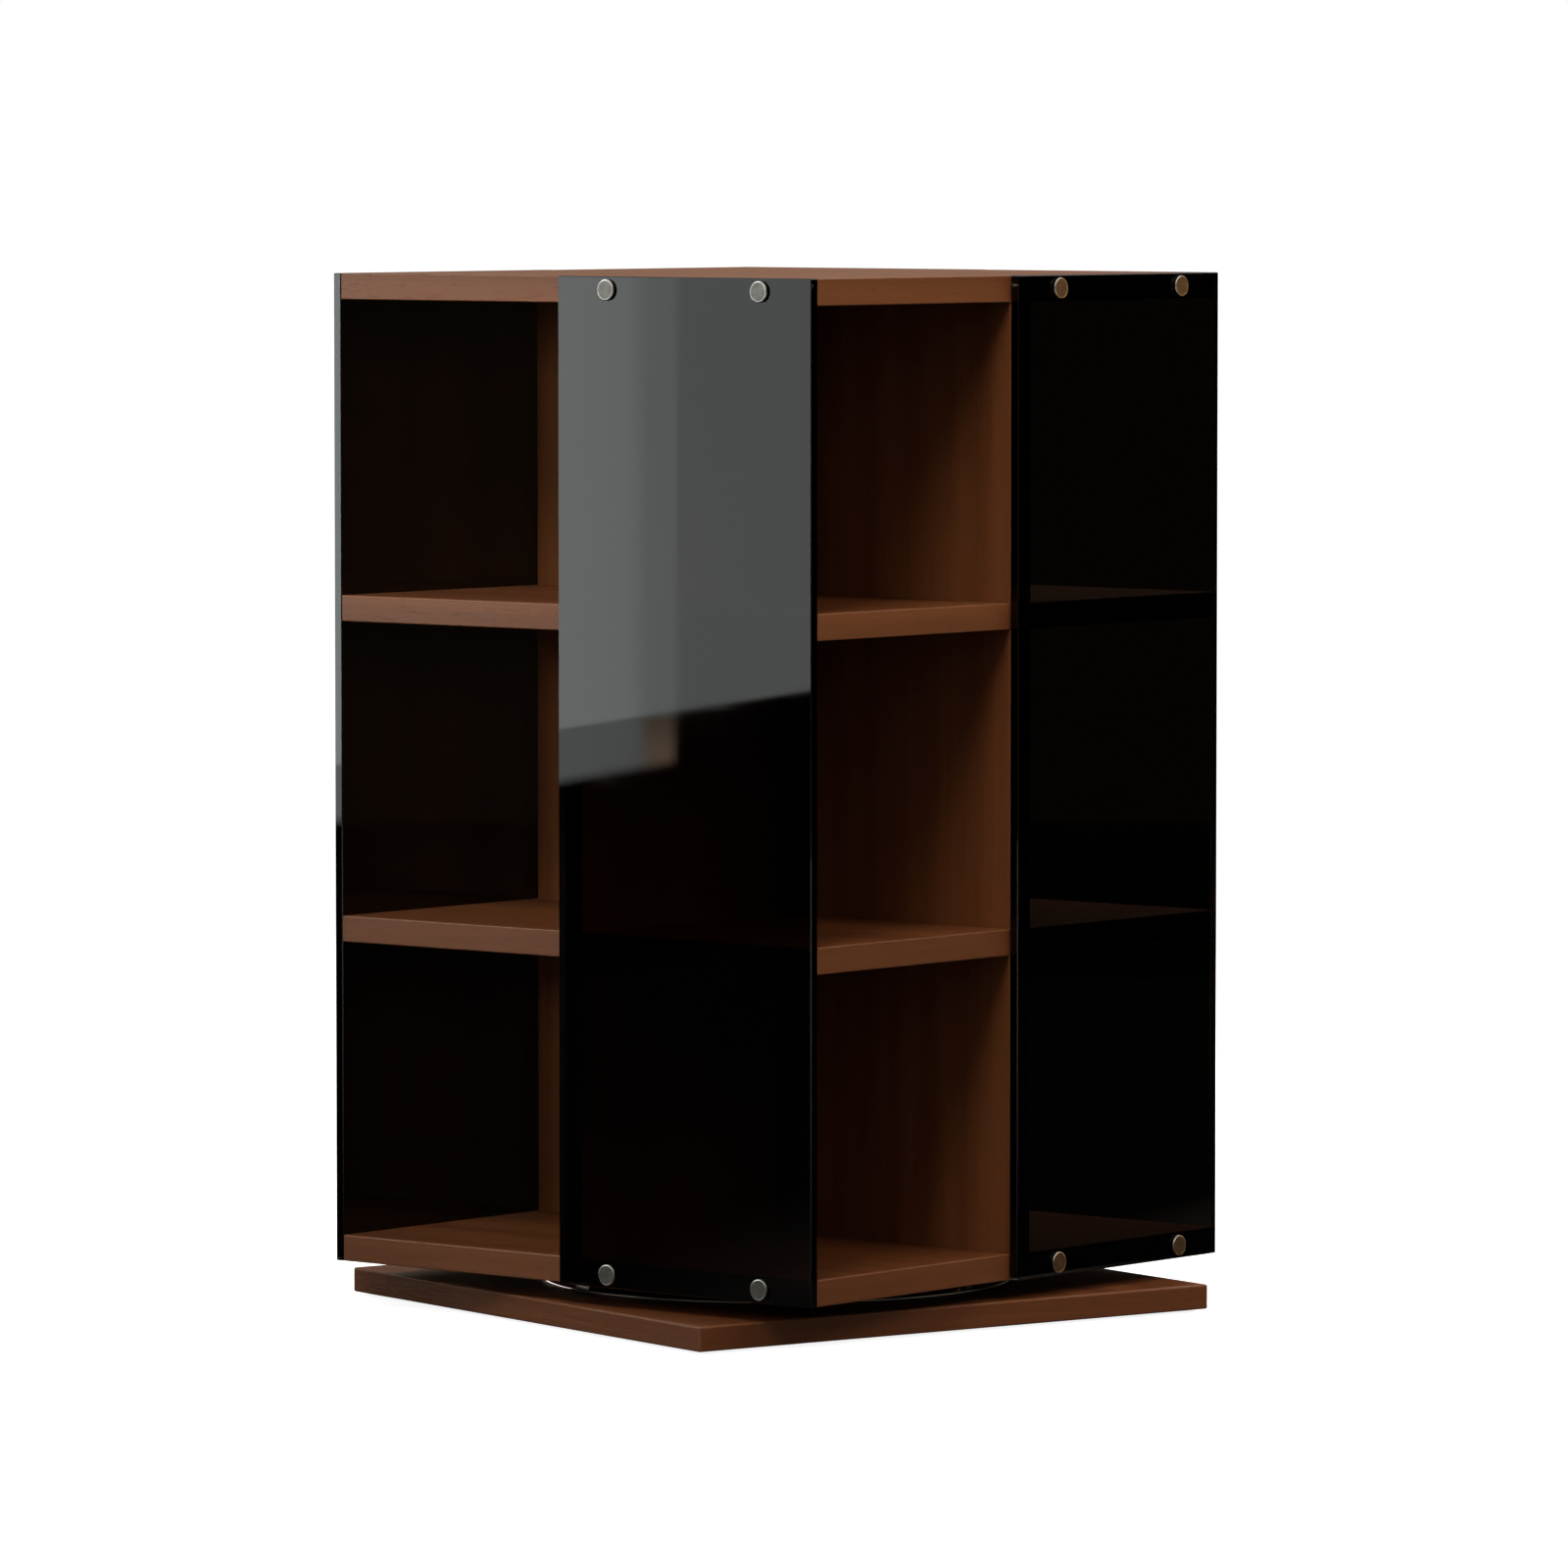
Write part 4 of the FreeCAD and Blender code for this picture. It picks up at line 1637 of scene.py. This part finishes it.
    def gap_strips(self) -> None:
        """Dim strips between the ring's rim and the window, and between the rim and the warm card."""
        desk, inward = self.gap_strip("front_strip", self.front_strip_length, 0.0, self.front_strip_middle)
        self.shine(desk, desk.times(inward, self.front_strip_level), rgba(self.front_strip_colour))
        desk, inward = self.gap_strip("right_strip", self.right_strip_length, 90.0, self.right_strip_middle)
        depth = desk.part(desk.place(), "Y")
        far, near = (desk.between(depth, *fade) for fade in self.right_strip_fades)
        self.shine(desk, desk.times(desk.times(far, near), inward), rgba(self.right_strip_colour))

    def window_card(self) -> None:
        """The tall soft window that the front panel and the satin wood mirror.

        Its own X runs along its width, from the part that the rack's left edge mirrors, and its own Y
        runs up. Up to its post a dimmer pane reaches lower, and turns warm towards the post.
        """
        length, height = self.window_size
        window = started(
            "window_card", bpy.ops.mesh.primitive_grid_add, x_subdivisions=8, y_subdivisions=8, size=1,
            stretch=(length, height, 1.0), location=(length / 2 - self.window_lead, height / 2, 0.0))
        desk = self.card(window)
        place = desk.place()
        along, up = desk.part(place, "X"), desk.part(place, "Y")
        level = desk.between(along, *self.window_glow)
        for fade in (*self.window_fades, (*self.window_post, 1.0, self.post_level)):
            level = desk.times(level, desk.between(along, *fade))
        before_post = desk.between(along, *self.window_post, 1.0, 0.0)
        low_pane = desk.times(before_post, desk.between(up, *self.low_pane_sill))
        pane = desk.between(up, *self.pane_sill)
        shade = desk.math("MAXIMUM", pane, desk.times(low_pane, self.low_pane_level))
        under = desk.between(up, *self.under_sill)
        warm = desk.times(under, desk.between(along, *self.warm_edge))
        lift = desk.times(warm, desk.between(up, *self.warm_lift))
        shade = desk.times(shade, desk.math("ADD", lift, 1.0))
        dusk = desk.times(under, desk.between(along, *self.dusk_edge))
        shade = desk.times(shade, desk.math("SUBTRACT", 1.0, dusk))
        tint = desk.mix(warm, rgba(self.window_colour), rgba(self.pane_colour))
        self.shine(desk, desk.times(level, shade), tint)
        self.stand(window, self.window_place, self.window_turn)

    def warm_card(self) -> None:
        """Warm card at the back right for caps and satin wood, dark where the smooth panel mirrors it."""
        card = started("warm_card", bpy.ops.mesh.primitive_plane_add, size=1,
                       stretch=(*self.warm_size, 1.0), location=(0.0, self.warm_size[1] / 2, 0.0))
        desk = self.card(card)
        place = desk.place()
        along, up = desk.part(place, "X"), desk.part(place, "Y")
        aside = desk.math("ABSOLUTE", desk.math("ADD", along, self.warm_dark_shift))
        beside, above = desk.between(aside, *self.warm_dark_side), desk.between(up, *self.warm_dark_top)
        level = desk.times(desk.math("MAXIMUM", beside, above), desk.between(up, *self.warm_fade))
        self.shine(desk, level, rgba(self.warm_colour))
        self.stand(card, self.warm_place, self.warm_turn)

    def build(self) -> None:
        """Sets the whole studio up."""
        self.camera()
        self.world()
        self.floor()
        self.dark_surround()
        self.window_card()
        self.warm_card()
        self.side_card()
        self.gap_strips()
        for lamp in LAMPS:
            lamp.build()


def write_sizes() -> None:
    """Defines a helper that turns a box into plain lists, and writes nothing.
    """
    def plain(box: Sequence) -> list[list[float]]:
        """The box as plain lists."""
        return [[float(value) for value in corner] for corner in box]


def main() -> None:
    """Builds the rack's looks and the studio."""
    logging.basicConfig(level=logging.INFO, format="%(message)s")
    bpy.context.scene.view_settings.view_transform = "Standard"
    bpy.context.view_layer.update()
    base = BaseAssembly()
    finishes = Finishes(base.turn)
    base.build(finishes)
    RingBearing().build(finishes)
    TowerCarcass().build(finishes)
    SmokedPanels().build(finishes)
    Studio().build()
    write_sizes()


if __name__ == "__main__":
    main()
